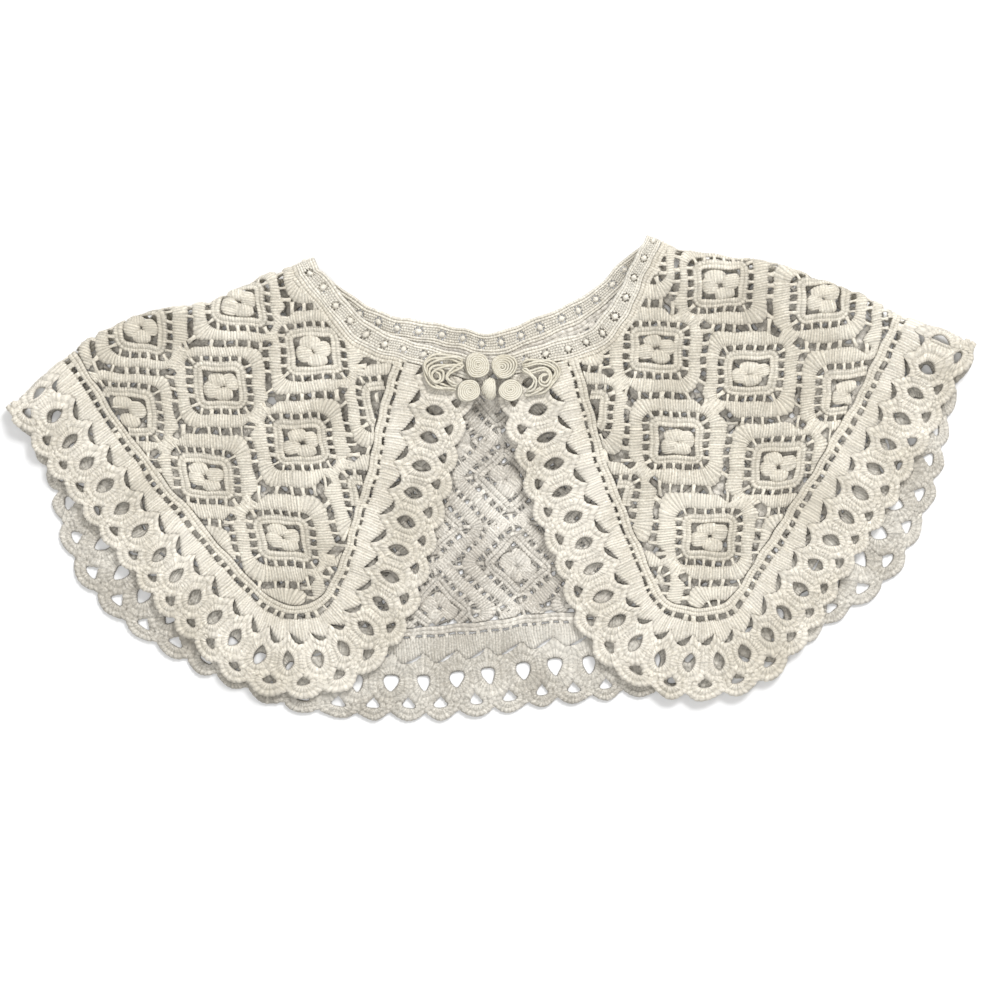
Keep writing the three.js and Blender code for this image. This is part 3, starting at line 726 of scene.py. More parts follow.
def draw_ladder(flat, medallion, depth):
    """The ring of bars between the padded band and the braid."""
    share = (np.arange(RING_BARS) + 0.5) / RING_BARS
    middles, ways, _ = medallion.loop(RING, RING_CORNER, share)
    for p, n in zip(middles, ways):
        if sample(depth, p) > DEPTHS["ladder"]:
            bar(flat, p - n * LADDER_HALF, p + n * LADDER_HALF, BAR * (1 + medallion.matted))


def draw_braid(flat, medallion, depth):
    wide = BRAID_WIDTH + medallion.matted
    half = np.array(BRAID_OUTER) + medallion.matted - wide / 2
    middle, normal, _ = medallion.loop(half, BRAID_CORNER)
    rings = corded(middle, normal * wide / 2, "braid")
    flat.runs(rings, sample(depth, middle) > DEPTHS["braid"])


def draw_pads(flat, medallion, depth):
    """Four satin blocks that turn about the middle, each laid along one side of the braid."""
    x = PAD_HALF * (2 * rib_steps(COARSE_PAD_RIBS if medallion.coarse else PAD_RIBS) - PAD_START)
    swell = (1 - np.minimum(np.abs(x / (PAD_HALF * PAD_END)), 1) ** PAD_POWER) ** (1 / PAD_POWER)
    for quarter in range(4):
        turn = axes_at(math.radians(90 * quarter)) * PAD_STRETCH * (1 + MATTED_PAD * medallion.matted)
        tilt = math.radians(PAD_TILT + PAD_TURN * rng.standard_normal())
        sway = PAD_SWAY * rng.standard_normal(2) + (PAD_MIDDLE, PAD_ASIDE)
        cos, sin = math.cos(tilt), math.sin(tilt)
        low, high = (
            medallion.place((np.column_stack([x * cos - y * sin, x * sin + y * cos]) + sway) @ turn)
            for y in (-PAD_DEEP * swell, PAD_DEEP * swell))
        keep = (sample(depth, low) > DEPTHS["pads"]) & (sample(depth, high) > DEPTHS["pads"])
        flat.parts(ribbed(low, high, "pad", PAD_LOW + (1 - PAD_LOW) * swell), keep)


# Cords along the hem seam and the neck: how far in each lies, and their half width
SEAM_CORDS, NECK_CORDS = (2.0, 4.1), (0.6, 2.8)
CORD_HALF = 1.3
# Bars across the hem seam: pitch and width, how far they reach in and out, and how they vary
SEAM_BAR_PITCH, SEAM_BAR = 5.9, 2.5
SEAM_BAR_IN, SEAM_BAR_OUT = 1.7, 2.5
SEAM_BAR_SHIFT, SEAM_BAR_VARIES = 0.7, 0.12


def draw_seams(flat, name):
    """Two cords along the hem seam and two along the neck, and bars across the hem seam."""
    step = RIB if name == "back" else RIB / len(RIB_RINGS)
    for edge, insets in (("seam", SEAM_CORDS), ("neck", NECK_CORDS)):
        points, out = edge_samples(name, edge, step)
        for inset in insets:
            flat.strip(corded(points - out * inset, out * CORD_HALF, "seam"))
    points, out = edge_samples(name, "seam", SEAM_BAR_PITCH)
    for p, n in zip(points, out):
        p = p + SEAM_BAR_SHIFT * rng.standard_normal() * np.array([n[1], -n[0]])
        width = SEAM_BAR * (1 + SEAM_BAR_VARIES * rng.standard_normal())
        bar(flat, p - n * SEAM_BAR_IN, p + n * SEAM_BAR_OUT, width)


# Net behind the back's lace: where it is, its directions in degrees, its pitch, and its threads
NET_MIDDLE, NET_HALF = np.array([0.0, -22.0]), np.array([72.0, 66.0])
NET_SPAN, NET_STEP, NET_TURNS = 96, 4.0, (20, 108)
NET_PITCH, NET_OFF, NET_STRAY = 3.6, 0.5, 0.4
NET_THREAD = 1.7


def draw_net(flat, depth):
    """A loose net behind the matted lace that shows in the neck opening."""
    along = np.arange(-NET_SPAN, NET_SPAN + 1, NET_STEP)
    for a in np.radians(NET_TURNS):
        d, n = axes_at(a)
        for offset in np.arange(-NET_SPAN, NET_SPAN, NET_PITCH):
            line = NET_MIDDLE + n * (offset + NET_OFF * rng.standard_normal()) + d * along[:, None]
            line += n * NET_STRAY * rng.standard_normal((len(along), 1))
            shown = (np.abs(line - NET_MIDDLE) < NET_HALF).all(1) & (sample(depth, line) > DEPTHS["net"])
            flat.parts(corded(line, n * NET_THREAD / 2, "net"), shown)


def draw_body(name):
    """A piece of the body as flat lace, and the outline of its cloth."""
    flat = Flat()
    depth, outline = depth_inside(region(name))
    group = [Medallion(k, name == "back", *row) for k, row in enumerate(MEDALLIONS[name])]
    for medallion in group:
        near = [other for other in group
                if 0 < np.linalg.norm(other.middle - medallion.middle) < NEIGHBOUR]
        draw_outer(flat, medallion, near, depth)
        for draw in (draw_ladder, draw_braid, draw_pads):
            draw(flat, medallion, depth)
    draw_seams(flat, name)
    if name == "back":
        draw_net(flat, depth)
    return flat, outline


# Border: scallops are counted by t, whole at the cusps, and w is the distance from the seam
BORDER_SAMPLES = 601


def spread(name, share):
    """How much wider than its pattern a border lies, at a share of its seam."""
    if name == "back":
        return SPREAD_BACK * np.sin(math.pi * share)
    return SPREAD_CORNER * fade(share - CORNER[name], CORNER_REACH)


BORDER = {}
for name in SCALLOPS:
    share = np.linspace(0, 1, BORDER_SAMPLES)
    run = run_along(seam_point(name, share, np.full(BORDER_SAMPLES, HOLE_AT)))
    pitch = run[-1] / (SCALLOPS[name] - FIRST[name])
    BORDER[name] = {"t": FIRST[name] + run / pitch, "share": share, "pitch": pitch}


# How far the last scallop beside a shoulder fold swells
TIP_BULGE = 1.6


def lay_border(name):
    """Lays a flat border in (t, w) along its seam, up to the shoulder folds and round them."""
    count, table = SCALLOPS[name], BORDER[name]

    def flat_place(t, w):
        share = np.interp(t, table["t"], table["share"])
        p = seam_point(name, share, w * (1 + spread(name, share) / BORDER_WIDTH))
        joins = [(name, t - count + 1)]
        if name == "back":
            joins = [("left", 1 - t), ("right", t - count + 1)]
        for side, into in joins:
            weight = smoothstep(into, 0, 1)[:, None]
            _, along, _, edge = fold_at(side, FOLDS[side]["seam"] + w)
            bulge = TIP_BULGE * w / BORDER_WIDTH * np.sin(math.pi * np.clip(into, 0, 1))
            p = p + (edge - p) * weight + along * bulge[:, None]
        return p

    def lay(tw, h):
        t, w = tw.T
        p = flat_place(t, w)
        if name == "back":
            return lay_back(p, h)
        out = np.column_stack([p, front_height(p) + h])
        over = t > count
        angle = math.pi * (0.5 - (t[over] - count))
        out[over] = round_fold(name, FOLDS[name]["seam"] + w[over], angle, h[over])
        return out
    return lay


# Cusps beside the shoulder folds, which the edge passes almost straight
BLUNT = {name: (count, count + 1) for name, count in SCALLOPS.items()}
BLUNT["back"] = (0, SCALLOPS["back"])
BLUNT_REACH = 0.42
CREST_POWER = 0.75


def crest(t, blunt):
    """The outer edge of the border, with its cusps at whole t."""
    depth = SCALLOP_DEPTH * (1 - np.abs(np.sin(math.pi * t)) ** CREST_POWER)
    for cusp in blunt:
        depth = depth * (1 - fade(t - cusp, BLUNT_REACH))
    return BORDER_WIDTH - depth


# Band beside the seam: its outer line, and how that drops along each slit, as a share of the scallop
BAND_EDGE, SLIT_DROP = 13.4, 5.2
SLIT_FROM, SLIT_SHARE, SLIT_POWER = -0.6, 0.64, 0.8
# How wide a slit opens between the band and the ribs round the holes
SLIT_OPEN = {"front": 3.4, "back": 1.8}


def band_edge(t, slit=0):
    """The outer line of the band beside the seam, or the far side of its slits where they open."""
    part = (t - SLIT_FROM) % 1
    down = np.clip(part / SLIT_SHARE, 0, 1)
    back = smoothstep(part, SLIT_SHARE, 1.0)
    return BAND_EDGE - SLIT_DROP * (down - back) + slit * np.sin(math.pi * down) ** SLIT_POWER


# The line of the band along which its ribs are spaced, and a fine step of t
BAND_MIDDLE = 7.0
T_STEP = 0.004


def even_t(name, lay, last):
    """Values of t that step by one rib along the band beside the seam."""
    t = np.arange(FIRST[name], last, T_STEP)
    run = run_along(lay(level(t, BAND_MIDDLE), np.zeros(len(t))))
    return np.interp(np.arange(0, run[-1], RIB), run, t)


# Holes of the border: place along the scallop, distance from the seam and half width, then how far
# they reach towards the seam and away from it, and how square they are on those two sides
HOLES = {
    "front": {"big": (0, 23.5, 2.9, 5.0, 5.0, 1.5, 1.35), "small": (0.5, 34.4, 2.7, 3.3, 1.4, 1.0, 3.0)},
    "back": {"big": (0, 22.2, 3.8, 3.2, 5.6, 2.8, 1.3), "small": (0.5, 35.0, 3.5, 4.0, 1.5, 1.0, 3.0)},
}
# Ribs round a hole: the radius at which their pitch holds, and the lengths that are tried
FAN_RADIUS = {"big": 6.4, "small": 5.2}
FAN_REACH = np.arange(0.6, 11, 0.2)
LEAST_STEPS = 3
# How far a rib runs on under the band and under the next hole's ribs
BAND_LAP, FAN_LAP = 0.4, 1.2
# The arch over a small hole: how far inside its middle it begins, and its ribs' lowest direction
ARCH_FROM, ARCH_SECTOR = 0.5, -0.3


def hole_radius(hole, direction):
    """The distance from a hole's middle to its edge, in a direction."""
    _, _, wide, towards, away, inward, outward = hole
    below = direction[..., 1] < 0
    power = np.where(below, inward, outward)
    reach = np.where(below, towards, away)
    return (np.abs(direction[..., 0] / wide) ** power
            + np.abs(direction[..., 1] / reach) ** power) ** (-1 / power)


def fan(layer, kind, pitch, blunt):
    """Ribs that radiate from a hole of the border to its neighbours, as inner and outer lines."""
    holes = HOLES[layer]
    at, w = holes[kind][:2]
    direction = circle(rib_steps(int(2 * math.pi * FAN_RADIUS[kind] / RIB)) * 2 * math.pi)
    radius = smooth_round(hole_radius(holes[kind], direction), 1)
    inner = direction * radius[:, None] + (at * pitch, w)
    rays = inner[:, None] + direction[:, None] * FAN_REACH[None, :, None]

    def past(k, other):
        """How far a ray has come beyond the edge of a hole."""
        apart = rays - ((holes[other][0] + k) * pitch, holes[other][1])
        distance = np.linalg.norm(apart, axis=-1)
        return distance - hole_radius(holes[other], apart / distance[..., None])

    own = past(0, kind)
    t, wide = rays[..., 0] / pitch, rays[..., 1]
    allowed = (wide > band_edge(t, SLIT_OPEN[layer]) - BAND_LAP) & (wide < crest(t, blunt))
    for k in (-2, -1, 0, 1, 2):
        for other in holes:
            if (k, other) == (0, kind):
                continue
            gone = past(k, other)
            free = gone - own > -FAN_LAP
            if kind == "big" and other == "small":
                # An arch spans only the outer side of a small hole; nearer the seam this fan runs up to it
                free = np.where(wide > holes[other][1] - ARCH_FROM, free, gone > 0)
            allowed &= free
    stops = np.where(allowed.all(1), len(FAN_REACH), (~allowed).argmax(1))
    limit = FAN_REACH[np.clip(stops - 1, 0, None)]
    sector = (direction[:, 1] > ARCH_SECTOR) if kind == "small" else True
    return inner, inner + direction * limit[:, None], limit, (stops > LEAST_STEPS) & sector


# Where the band beside the seam begins, along the neck opening and on round the hem, and the shares of
# the border between which it changes
BAND_FROM = {"front": (0.3, 1.7), "back": (0.1, 0.1)}
BAND_CHANGE = (0.3, 0.42)
# Ribs round the holes: the length of one at full height, the least height, and how heights vary
FULL_RIB, LOW_RIB, FAN_VARIES = 2.5, 0.6, 0.06
# How far from the two ends of the border a hole has to be
FIRST_CLEAR, LAST_CLEAR = 0.25, {"front": 0.2, "back": 0}


def draw_border(name):
    """A border as flat lace in (t, w), and the function that lays it."""
    flat, lay = Flat(), lay_border(name)
    pitch = BORDER[name]["pitch"]
    last = SCALLOPS[name] + (name != "back")
    layer = "back" if name == "back" else "front"
    # Band along the seam
    t = even_t(name, lay, last)
    t = (t[:-1, None] + np.diff(t)[:, None] * RIB_RINGS).ravel()
    begin, end = BAND_FROM[layer]
    begin = begin + (end - begin) * smoothstep(t / last, *BAND_CHANGE)
    inner, outer = (np.column_stack([t, w]) for w in (begin, band_edge(t)))
    flat.strip(ribbed(inner, outer, "edge"))
    # Fans of ribs round the holes
    for kind, (at, *_) in HOLES[layer].items():
        for n in range(last + 1):
            if not FIRST[name] + FIRST_CLEAR < n + at < last - LAST_CLEAR[layer]:
                continue
            inner, outer, limit, keep = fan(layer, kind, pitch, [cusp - n for cusp in BLUNT[name]])
            scale = np.clip(limit / FULL_RIB, LOW_RIB, 1) * (1 + FAN_VARIES * rng.standard_normal())
            inner, outer = (line / (pitch, 1) + (n, 0) for line in (inner, outer))
            flat.runs(ribbed(inner, outer, "fan", scale), keep)
    return flat, lay


# Neckband: u runs from the left free end round the neck to the right one, v across it. Each stretch is
# its length and the base and outward direction at a place on it, or for a fold the name of its side.
def band_end(side):
    """The free end of the band, down a front edge."""
    ahead = SEAMS[side, "seam"][1](np.array(0.0))
    aside = np.array([-ahead[1], ahead[0]]) * FOLDS[side]["turn"]
    start = SEAMS[side, "neck"][0].inside(0.0)

    def place(x):
        return start + ahead * (FRONT_END - x)[:, None], np.repeat(aside[None], len(x), 0)
    return FRONT_END, place


def band_neck(name):
    """The stretch of the band along the neck."""
    line, outward = SEAMS[name, "neck"]
    return line.length, lambda x: (line.inside(x), outward(x / line.length))


def band_side(side):
    return [band_end(side), band_neck(side), (fold_end(side, "neck")[4], side)]


BAND_CHAIN = band_side("left") + [band_neck("back")] + band_side("right")[::-1]
# The back's place in the chain; after it, each stretch runs the other way
BAND_BACK = 3
BAND_STARTS = np.concatenate([[0], np.cumsum([part[0] for part in BAND_CHAIN])])
BAND_LENGTH = BAND_STARTS[-1]


def band_tilt(p):
    rise = fade(np.linalg.norm(p - RIGHT_NECK_FOLD, axis=-1), TILT_REACH)
    return np.radians(BAND_TILT + (FOLD_TILT - BAND_TILT) * rise)


def lay_band(uv, h):
    u, v = uv.T
    out = np.zeros((len(u), 3))
    which = np.clip(np.searchsorted(BAND_STARTS, u, "right") - 1, 0, len(BAND_CHAIN) - 1)
    for k, (length, place) in enumerate(BAND_CHAIN):
        here = which == k
        if not here.any():
            continue
        x = u[here] - BAND_STARTS[k]
        if k > BAND_BACK:
            x = length - x
        on_fold = isinstance(place, str)
        if on_fold:
            tilt = np.full(len(x), band_tilt(fold_end(place, "neck")[0]))
        else:
            base, outward = place(x)
            tilt = band_tilt(base)
        clear = BAND_GAP + LACE / 2 * np.sin(tilt)
        wide = clear + v[here] * (BAND_WIDTH - clear)
        if on_fold:
            angle = math.pi * (0.5 - x / length)
            point = round_fold(place, FOLDS[place]["neck"] - wide * np.cos(tilt), angle, h[here])
            point[:, 2] += wide * np.sin(tilt)
            out[here] = point
            continue
        z = np.full(len(x), LACE / 2) if k == BAND_BACK else front_height(base)
        base = np.column_stack([base, z])
        rising = np.column_stack([outward * np.cos(tilt)[:, None], np.sin(tilt)])
        normal = np.column_stack([-outward * np.sin(tilt)[:, None], np.cos(tilt)])
        out[here] = base + rising * wide[:, None] + normal * h[here, None]
    return out


# Rails along the band: their middles and half width as shares of its width, and their step
RAILS, RAIL, RAIL_STEP = (0.065, 0.195, 0.805, 0.935), 0.072, 0.6
# Rows of netting between the bobbles: where they begin, their pitch and how far they overlap, as shares
ROWS, ROWS_FROM, ROW_PITCH, ROW_LAP = 4, 0.26, 0.12, 0.01
# Bobbles: their pitch, the radius of the round opening about each, and its outline as (radius, height)
BOBBLE_PITCH, BOBBLE_SIDES = 12.1, 16
HALO = 2.7
BOBBLE = ((0.3, 1.75), (0.9, 1.6), (1.5, 1.1), (1.75, 0.2), (1.4, -0.7), (0.3, -0.8))
# The four threads that hold a bobble: where they begin, how far they run under the netting, half width
HOLD_FROM, HOLD_LAP, HOLD_HALF = 1.5, 0.4, 0.3


def draw_band():
    """The neckband as flat lace in (u, v)."""
    flat = Flat()
    width = BAND_WIDTH - BAND_GAP
    u = np.arange(0, BAND_LENGTH, RAIL_STEP)
    for v in RAILS:
        flat.strip(ribbed(level(u, v - RAIL), level(u, v + RAIL), "rail"))
    count = int(BAND_LENGTH / BOBBLE_PITCH)
    pitch = BAND_LENGTH / count
    for n in range(-1, count):
        middle = (n + 0.5) * pitch
        # Rows of netting to the next bobble, which stop at the round openings
        for row in range(ROWS):
            v = ROWS_FROM + ROW_PITCH * row
            off = (v + ROW_PITCH / 2 - 0.5) * width
            clear = math.sqrt(max(HALO**2 - off**2, 0))
            x = middle + np.linspace(clear, pitch - clear, 3 * round((pitch - 2 * clear) / RIB))
            x = x[(x > 0) & (x < BAND_LENGTH)]
            low, high = (level(x, v + d) for d in (-ROW_LAP, ROW_PITCH + ROW_LAP))
            flat.strip(ribbed(low, high, "row"))
        if n < 0:
            continue
        outline = circle(full_turn(BOBBLE_SIDES))
        flat.strip(np.array([level((middle, 0.5) + r * outline / (1, width), h) for r, h in BOBBLE]))
        for a in np.radians((0, 90, 180, 270)):
            d, side = axes_at(a) / (1, width)
            ends = np.array([(middle, 0.5) + d * r for r in (HOLD_FROM, HALO + HOLD_LAP)])
            flat.strip(corded(ends, side * HOLD_HALF, "hold"))
    return flat


# Frog: cords of satin, each two strands wound together, as tubes along space curves with their sides in
# shade. Then its seat over the middle of the cloth.
TUBE_SIDES, STRAND_SWELL = 8, 0.12
TUBE_SHADE = 0.62
FROG_SEAT = LACE / 2


def tube(path, radius, twist):
    """Rings round a path of 3-D points; the two strands wind round it by the twist."""
    ahead = unit(np.gradient(path, axis=0))
    side = unit(np.cross(ahead, (0, 0, 1.0)))
    up = np.cross(side, ahead)
    a = full_turn(TUBE_SIDES)
    radius = np.broadcast_to(radius, (len(path),))[:, None]
    radius = radius * (1 + STRAND_SWELL * np.cos(2 * a[None] - run_along(path)[:, None] * twist))
    points = (path[:, None] + side[:, None] * (radius * np.cos(a))[..., None]
              + up[:, None] * (radius * np.sin(a))[..., None])
    # Painted shade: each tube darker down its sides and underneath than on its top
    tone = TUBE_SHADE + (1 - TUBE_SHADE) * np.clip(np.sin(a), 0, 1)
    return np.dstack([points, np.broadcast_to(tone, radius.shape)])


STRAND = 0.62
# Each rosette: middle, radius, seat, how far its middle turn is off, its way round, and its lean
ROSETTES = {
    "rosette_upper_left": (-7.5, 61.9, 6.9, 1.4, 0, 0, 1.6),
    "rosette_upper_right": (6.8, 61.6, 6.9, 1.1, -1.6, 1, 0.3),
    "rosette_lower_left": (-12.8, 48.2, 6.5, 0.6, 0, 1, 1.5),
    "rosette_lower_right": (10.4, 48.2, 6.3, 0.5, 0, 0, 0.2),
}
ROSETTE_HEIGHT = 4.4
# A coil's turns: their pitch, how much of it they climb, the points of a turn down the side and on top
RING_PITCH, CLIMB = 1.1, 0.93
SIDE_POINTS, TOP_POINTS = 44, 34
COIL_END = 0.5
COIL_TWIST = 3.0
# The side's turns are in shade, up to this many points below the top
SIDE_TONE, SHADE_END = 0.8, 30
# The core that closes a coil, as (share of the radius, height)
CORE = ((0.1, 0.35), (1, 0.4), (1, ROSETTE_HEIGHT - 1.5), (0.1, ROSETTE_HEIGHT - 1.0))
CORE_SIDES, CORE_INSET = 24, 0.2


def draw_rosette(x, y, radius, seat, off, way, lean):
    flat = Flat()
    base = front_height(np.array([x, y])) + FROG_SEAT + seat
    outer = radius - STRAND
    # Down the side, from the bottom turn up
    turns = (ROSETTE_HEIGHT - 2 * STRAND) / RING_PITCH
    a = np.linspace(0, 2 * math.pi * turns, int(turns * SIDE_POINTS))
    side = np.column_stack([outer * circle(a), base + STRAND + a / (2 * math.pi) * RING_PITCH * CLIMB])
    # Then in over the top, which is a little domed
    turns = (outer - COIL_END) / RING_PITCH
    b = np.linspace(0, 2 * math.pi * turns, int(turns * TOP_POINTS))
    r = outer - b / (2 * math.pi) * RING_PITCH
    lift = side[-1, 2] - base - STRAND
    z = base + STRAND + lift + (ROSETTE_HEIGHT - 2 * STRAND - lift) * (1 - (r / outer) ** 2)
    top = np.column_stack([r[:, None] * circle(a[-1] + b), z])
    top[:, 0] += off * (1 - r / outer)
    path = np.vstack([side, top[1:]])
    if way:
        path[:, 1] *= -1
    path[:, 0] -= lean * (1 - (path[:, 2] - base) / ROSETTE_HEIGHT)
    path += (x, y, 0)
    rings = tube(path, STRAND, COIL_TWIST)
    rings[..., 3] *= np.where(np.arange(len(path)) < len(side) - SHADE_END, SIDE_TONE, 1)[:, None]
    flat.strip(rings)
    outline = circle(full_turn(CORE_SIDES))
    flat.strip(np.array([level((x - lean * (1 - h / ROSETTE_HEIGHT), y)
                               + (outer - CORE_INSET) * share * outline, base + h) for share, h in CORE]))
    return flat


KNOT = {"at": (-1.1, 48.7), "half": (5.0, 6.3, 4.0), "seat": 0.5}
KNOT_CORE_SIDES, KNOT_CORE_INSET = 28, 1.0
KNOT_CORE_TILTS = np.radians(np.linspace(-85, 85, 12))
# Bands of strands that wrap the knot: their tilt in degrees, the strands' offsets, and how much they lift
KNOT_BANDS = ((10, np.arange(-3.4, 4.2, 1.15), 0), (-42, (-3.9, -2.8, -1.7), 0.06))
KNOT_REACH, LEAST_LOOP = 5.4, 0.05
KNOT_STRAND, KNOT_TWIST, KNOT_POINTS = 0.66, 2.5, 72


def draw_knot():
    flat = Flat()
    (x, y), half, seat = KNOT["at"], np.array(KNOT["half"]), KNOT["seat"]
    middle = np.array([x, y, front_height(np.array([x, y])) + FROG_SEAT + seat + half[2]])
    outline = circle(full_turn(KNOT_CORE_SIDES))
    flat.strip(np.array([level(np.cos(tilt) * outline, np.sin(tilt)) * (half - KNOT_CORE_INSET) + middle
                         for tilt in KNOT_CORE_TILTS]))
    a = np.linspace(0, 2 * math.pi, KNOT_POINTS, endpoint=False)
    for tilt, offsets, lift in KNOT_BANDS:
        axis, aside = level(axes_at(math.radians(tilt)), 0)
        ring = aside * np.cos(a)[:, None] + np.array([0, 0, 1]) * np.sin(a)[:, None]
        for offset in offsets:
            d = offset / KNOT_REACH
            loop = axis * d + ring * math.sqrt(max(LEAST_LOOP, 1 - d * d))
            path = middle + unit(loop) * (half - STRAND) * (1 + lift)
            flat.strip(tube(path, KNOT_STRAND, KNOT_TWIST), closed=True)
    return flat


# Each loop of the frog: the strands of a bundle, how high it rides, and its route
LOOP_ROUTES = {
    "frog_loop_left": [
        (3, 0, [(-16.4, 64), (-24, 66.4), (-31, 66), (-35.4, 61.5), (-34.4, 55.6), (-29, 51.4),
                (-20.4, 49.2)]),
        (2, 0.9, [(-30.4, 59.6), (-27.2, 58.4), (-27.4, 54.6), (-30.8, 53.6), (-32.8, 57), (-30.6, 60.8),
                  (-25, 62), (-16.8, 60.6)]),
        (2, 1.6, [(-16.2, 62.4), (-21, 59.6), (-24.4, 56), (-22.6, 52.6), (-19.6, 51.6)]),
    ],
    "frog_loop_right": [
        (3, 0, [(15.6, 63), (24, 64.4), (32, 63), (36, 58.5), (33.6, 52.4), (27.6, 48.4),
                (18, 46)]),
        (2, 0.9, [(31, 56.4), (27.8, 55.6), (27.6, 52), (30.8, 51), (33, 54.2), (31, 58.2), (25.4, 59.8),
                  (16.4, 58.6)]),
        (2, 1.6, [(16.4, 60.6), (21, 57.6), (24.2, 54), (22.4, 50), (18.4, 48.4)]),
    ],
}
LOOP_SEAT = 0.8
LOOP_HALF = 1.3
LOOP_STEP = 0.45
# A bundle's strands: radius, pitch, twist, and how much higher the middle one lies
LOOP_STRAND, LOOP_STRAND_PITCH, LOOP_TWIST, LOOP_RISE = 0.72, 1.3, 2.6, 0.35
# How far each strand strays from its place in the bundle, up and aside, and over what length
STRAY, STRAY_LENGTH = 0.45, 2.6
# Over what length the ends taper, the least taper, and the share of the radius that is left without it
TAPER_LENGTH, TAPER_LEAST, TAPER_RADIUS = 2.0, 0.15, 0.4


def draw_loop(routes):
    flat = Flat()
    for strands, ride, route in routes:
        line = Line(route)
        s = np.linspace(0, line.length, int(line.length / LOOP_STEP))
        p, along = line.inside(s), line.along(s)
        z = front_height(p) + FROG_SEAT + LOOP_SEAT + LOOP_HALF + ride
        out = np.column_stack([-along[:, 1], along[:, 0]])
        taper = np.sqrt(np.clip(np.minimum(s, line.length - s) / TAPER_LENGTH, TAPER_LEAST, 1))
        radius = LOOP_STRAND * (TAPER_RADIUS + (1 - TAPER_RADIUS) * taper)
        for k in np.arange(strands) - (strands - 1) / 2:
            turn = s / STRAY_LENGTH + 2 * math.pi * rng.random()
            aside = (k * LOOP_STRAND_PITCH + STRAY * np.sin(turn)) * taper
            rise = LOOP_RISE * (1 - abs(k)) + STRAY * (1 + np.cos(turn)) * taper
            path = np.column_stack([p + out * aside[:, None], z + rise])
            flat.strip(tube(path, radius, LOOP_TWIST))
    return flat


# Finishes by material: light and dark colour, roughness, sheen, strength of the bump, scale of the fibres.
# The back's lace and its hem are darker copies of the same cotton, painted shade on the lower layer under
# the fronts
FINISHES = {
    "cotton_lace": ((0.85, 0.80, 0.69), (0.63, 0.58, 0.48), 0.9, 0.15, 0.9, 1500),
    "cotton_border": ((0.87, 0.82, 0.72), (0.66, 0.61, 0.51), 0.9, 0.15, 0.9, 1500),
    "cotton_band": ((0.89, 0.85, 0.755), (0.71, 0.665, 0.57), 0.9, 0.15, 0.8, 1500),
    "cotton_back_shaded": ((0.84, 0.80, 0.72), (0.54, 0.50, 0.435), 0.92, 0.1, 0.9, 1500),
    "cotton_hem_shaded": ((0.76, 0.725, 0.65), (0.50, 0.465, 0.40), 0.92, 0.1, 0.9, 1500),
    "satin_cord": ((0.76, 0.72, 0.61), (0.58, 0.53, 0.41), 0.5, 0.15, 0.3, 3000),
}
SHINE = 0.3
FIBRE_DEPTH = 0.0006
# Noises as (scale, detail, roughness): two that mix into the colour between two values, and the fibres'
DRIFT, FLECKS = (28, 3, 0.5), (900, 2, 0.6)
MIX_FROM, MIX_TO = 0.42, 0.58
FIBRE_DETAIL = (4, 0.7)


def material(name, light, dark, roughness, sheen, bump, thread):
    """A thread-like finish: colour that drifts over centimetres, and fine fibres in the bump."""
    mat = bpy.data.materials.new(name)
    mat.use_nodes = True

    def fill(node, inputs):
        """Writes values to a node's inputs, and links sockets to them."""
        for key, value in inputs.items():
            if isinstance(value, bpy.types.NodeSocket):
                mat.node_tree.links.new(value, node.inputs[key])
            else:
                node.inputs[key].default_value = value

    def add(kind, output, inputs, **settings):
        node = mat.node_tree.nodes.new("ShaderNode" + kind)
        for key, value in settings.items():
            setattr(node, key, value)
        fill(node, inputs)
        return node.outputs[output]

    place = add("TexCoord", "Object", {})

    def noise(scale, detail, rough):
        return add("TexNoise", "Fac",
                   {"Scale": scale, "Detail": detail, "Roughness": rough, "Vector": place})

    mixed = add("Math", 0, {0: noise(*DRIFT), 1: noise(*FLECKS)}, operation="ADD")
    half = add("Math", 0, {0: mixed, 1: 0.5}, operation="MULTIPLY")
    colour = add("ValToRGB", "Color", {"Fac": half})
    ends = colour.node.color_ramp.elements
    ends[0].position, ends[1].position = MIX_FROM, MIX_TO
    ends[0].color, ends[1].color = (*dark, 1), (*light, 1)
    # The point attribute made in build multiplies into the colour: painted shade on the cords' sides,
    # grooves and undersides, and tone that varies by hand
    tone = add("Attribute", "Fac", {}, attribute_name="tone")
    shade = add("Mix", "Result", {"Factor": 1, "A": colour, "B": tone}, data_type="RGBA",
                blend_type="MULTIPLY")
    height = noise(thread, *FIBRE_DETAIL)
    normal = add("Bump", "Normal", {"Strength": bump, "Distance": FIBRE_DEPTH, "Height": height})
    fill(mat.node_tree.nodes["Principled BSDF"], {
        "Base Color": shade, "Normal": normal, "Roughness": roughness, "Sheen Weight": sheen,
        "Specular IOR Level": SHINE})
    return mat


FINISH = {name: material(name, *row) for name, row in FINISHES.items()}


def as_drawn(p, h):
    return np.column_stack([p, h])


# Pieces. The flat size and area of each stretch of cloth, in metres, are worked out from its outline and
# not used
PARTS = {"left": "front_left", "right": "front_right", "back": "back"}
for name, part in PARTS.items():
    back = name == "back"
    flat, outline = draw_body(name)
    outline = outline * MM
    # The back's pieces take the darker copies of the cotton, painted shade on the lower layer
    piece = flat.build("lace_" + part, lay_back if back else lay_front(name), ["lace_body"],
                       "cotton_lace", FINISH["cotton_back_shaded" if back else "cotton_lace"])
    tuple(np.ptp(outline, axis=0))
    abs(signed_area(outline))
    flat, lay = draw_border(name)
    piece = flat.build("border_" + part, lay, ["scalloped_border"], "cotton_border",
                       FINISH["cotton_hem_shaded" if back else "cotton_border"])
band = draw_band().build("neckband_lace", lay_band, ["neckband"], "cotton_band", FINISH["cotton_band"])
SATIN = FINISH["satin_cord"]
for name, row in ROSETTES.items():
    draw_rosette(*row).build(name + "_cord", as_drawn, [name], "satin_cord", SATIN)
draw_knot().build("knot_cord", as_drawn, ["knot_button"], "satin_cord", SATIN)
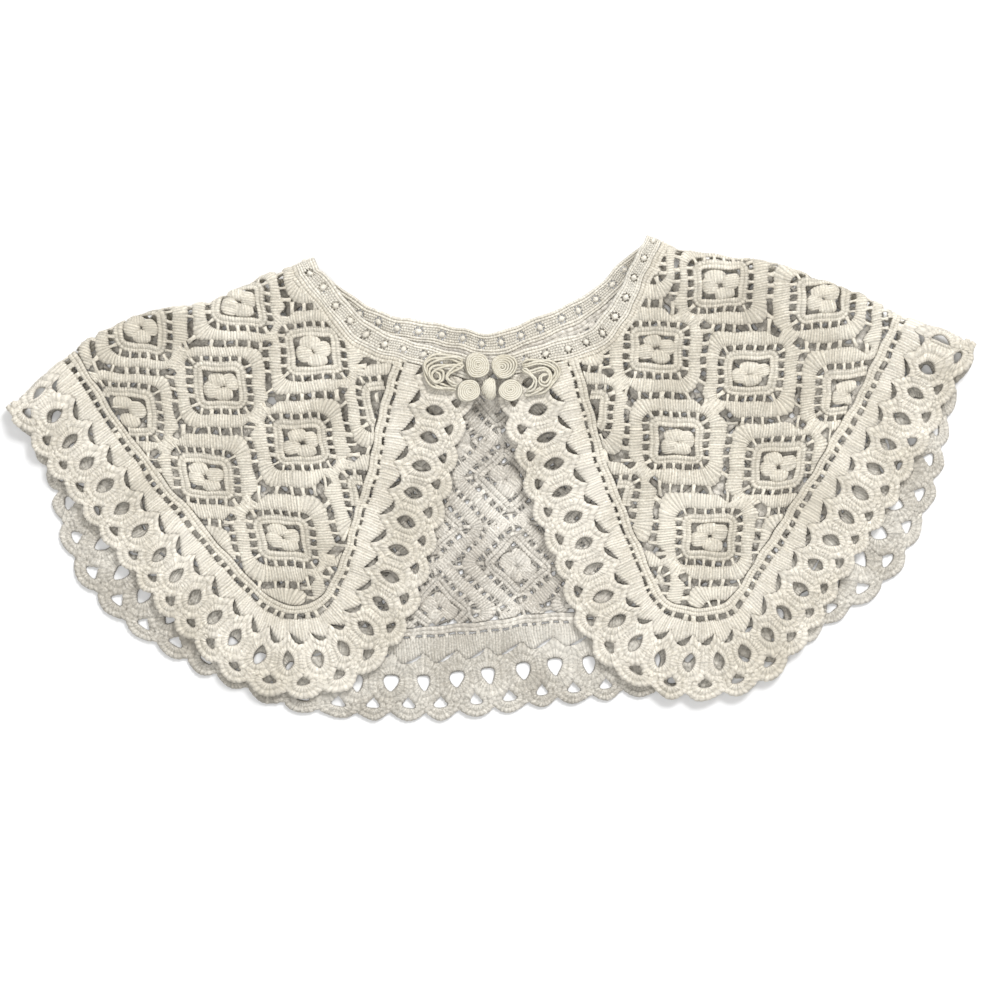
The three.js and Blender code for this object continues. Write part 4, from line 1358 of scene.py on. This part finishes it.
for name, routes in LOOP_ROUTES.items():
    draw_loop(routes).build(name + "_cord", as_drawn, [name], "satin_cord", SATIN)

# Floor
FLOOR_SIZE = 6
FLOOR_COLOUR, FLOOR_ROUGHNESS = (0.9, 0.9, 0.9, 1), 0.95
bpy.ops.mesh.primitive_plane_add(size=FLOOR_SIZE)
floor = bpy.context.object
floor.name = "floor"
paper = bpy.data.materials.new("paper")
paper.use_nodes = True
shader = paper.node_tree.nodes["Principled BSDF"]
shader.inputs["Base Color"].default_value = FLOOR_COLOUR
shader.inputs["Roughness"].default_value = FLOOR_ROUGHNESS
floor.data.materials.append(paper)

# Camera straight above the middle of the photograph, whose view has its full size at the collar's height
VIEW_SIZE = 0.550
VIEW_MIDDLE = (0.0044, -0.0118, 0.008)
CAMERA_HEIGHT = 1.8
camera = bpy.data.objects.new("camera", bpy.data.cameras.new("camera"))
camera.location = VIEW_MIDDLE + np.array((0, 0, CAMERA_HEIGHT))
camera.data.angle = 2 * math.atan(VIEW_SIZE / 2 / CAMERA_HEIGHT)
camera.data.clip_end = 20
bpy.context.scene.collection.objects.link(camera)
bpy.context.scene.camera = camera

# Area lights that face the middle, as (place, size, power), and an even white sky
LIGHTS = {"key": ((0.8, 1.5, 1.9), 0.9, 51), "fill": ((-0.3, -0.2, 2.3), 0.8, 17)}
SKY_STRENGTH = 0.49
for name, (place, size, power) in LIGHTS.items():
    light = bpy.data.lights.new(name, "AREA")
    light.size, light.energy = size, power
    obj = bpy.data.objects.new(name, light)
    obj.location = place
    way = -np.array(place)
    obj.rotation_euler = (math.atan2(math.hypot(way[0], way[1]), -way[2]), 0,
                          math.atan2(way[1], way[0]) - math.pi / 2)
    bpy.context.scene.collection.objects.link(obj)
world = bpy.context.scene.world or bpy.data.worlds.new("world")
bpy.context.scene.world = world
world.use_nodes = True
world.node_tree.nodes["Background"].inputs["Color"].default_value = (1, 1, 1, 1)
world.node_tree.nodes["Background"].inputs["Strength"].default_value = SKY_STRENGTH
bpy.context.scene.view_settings.view_transform = "Standard"
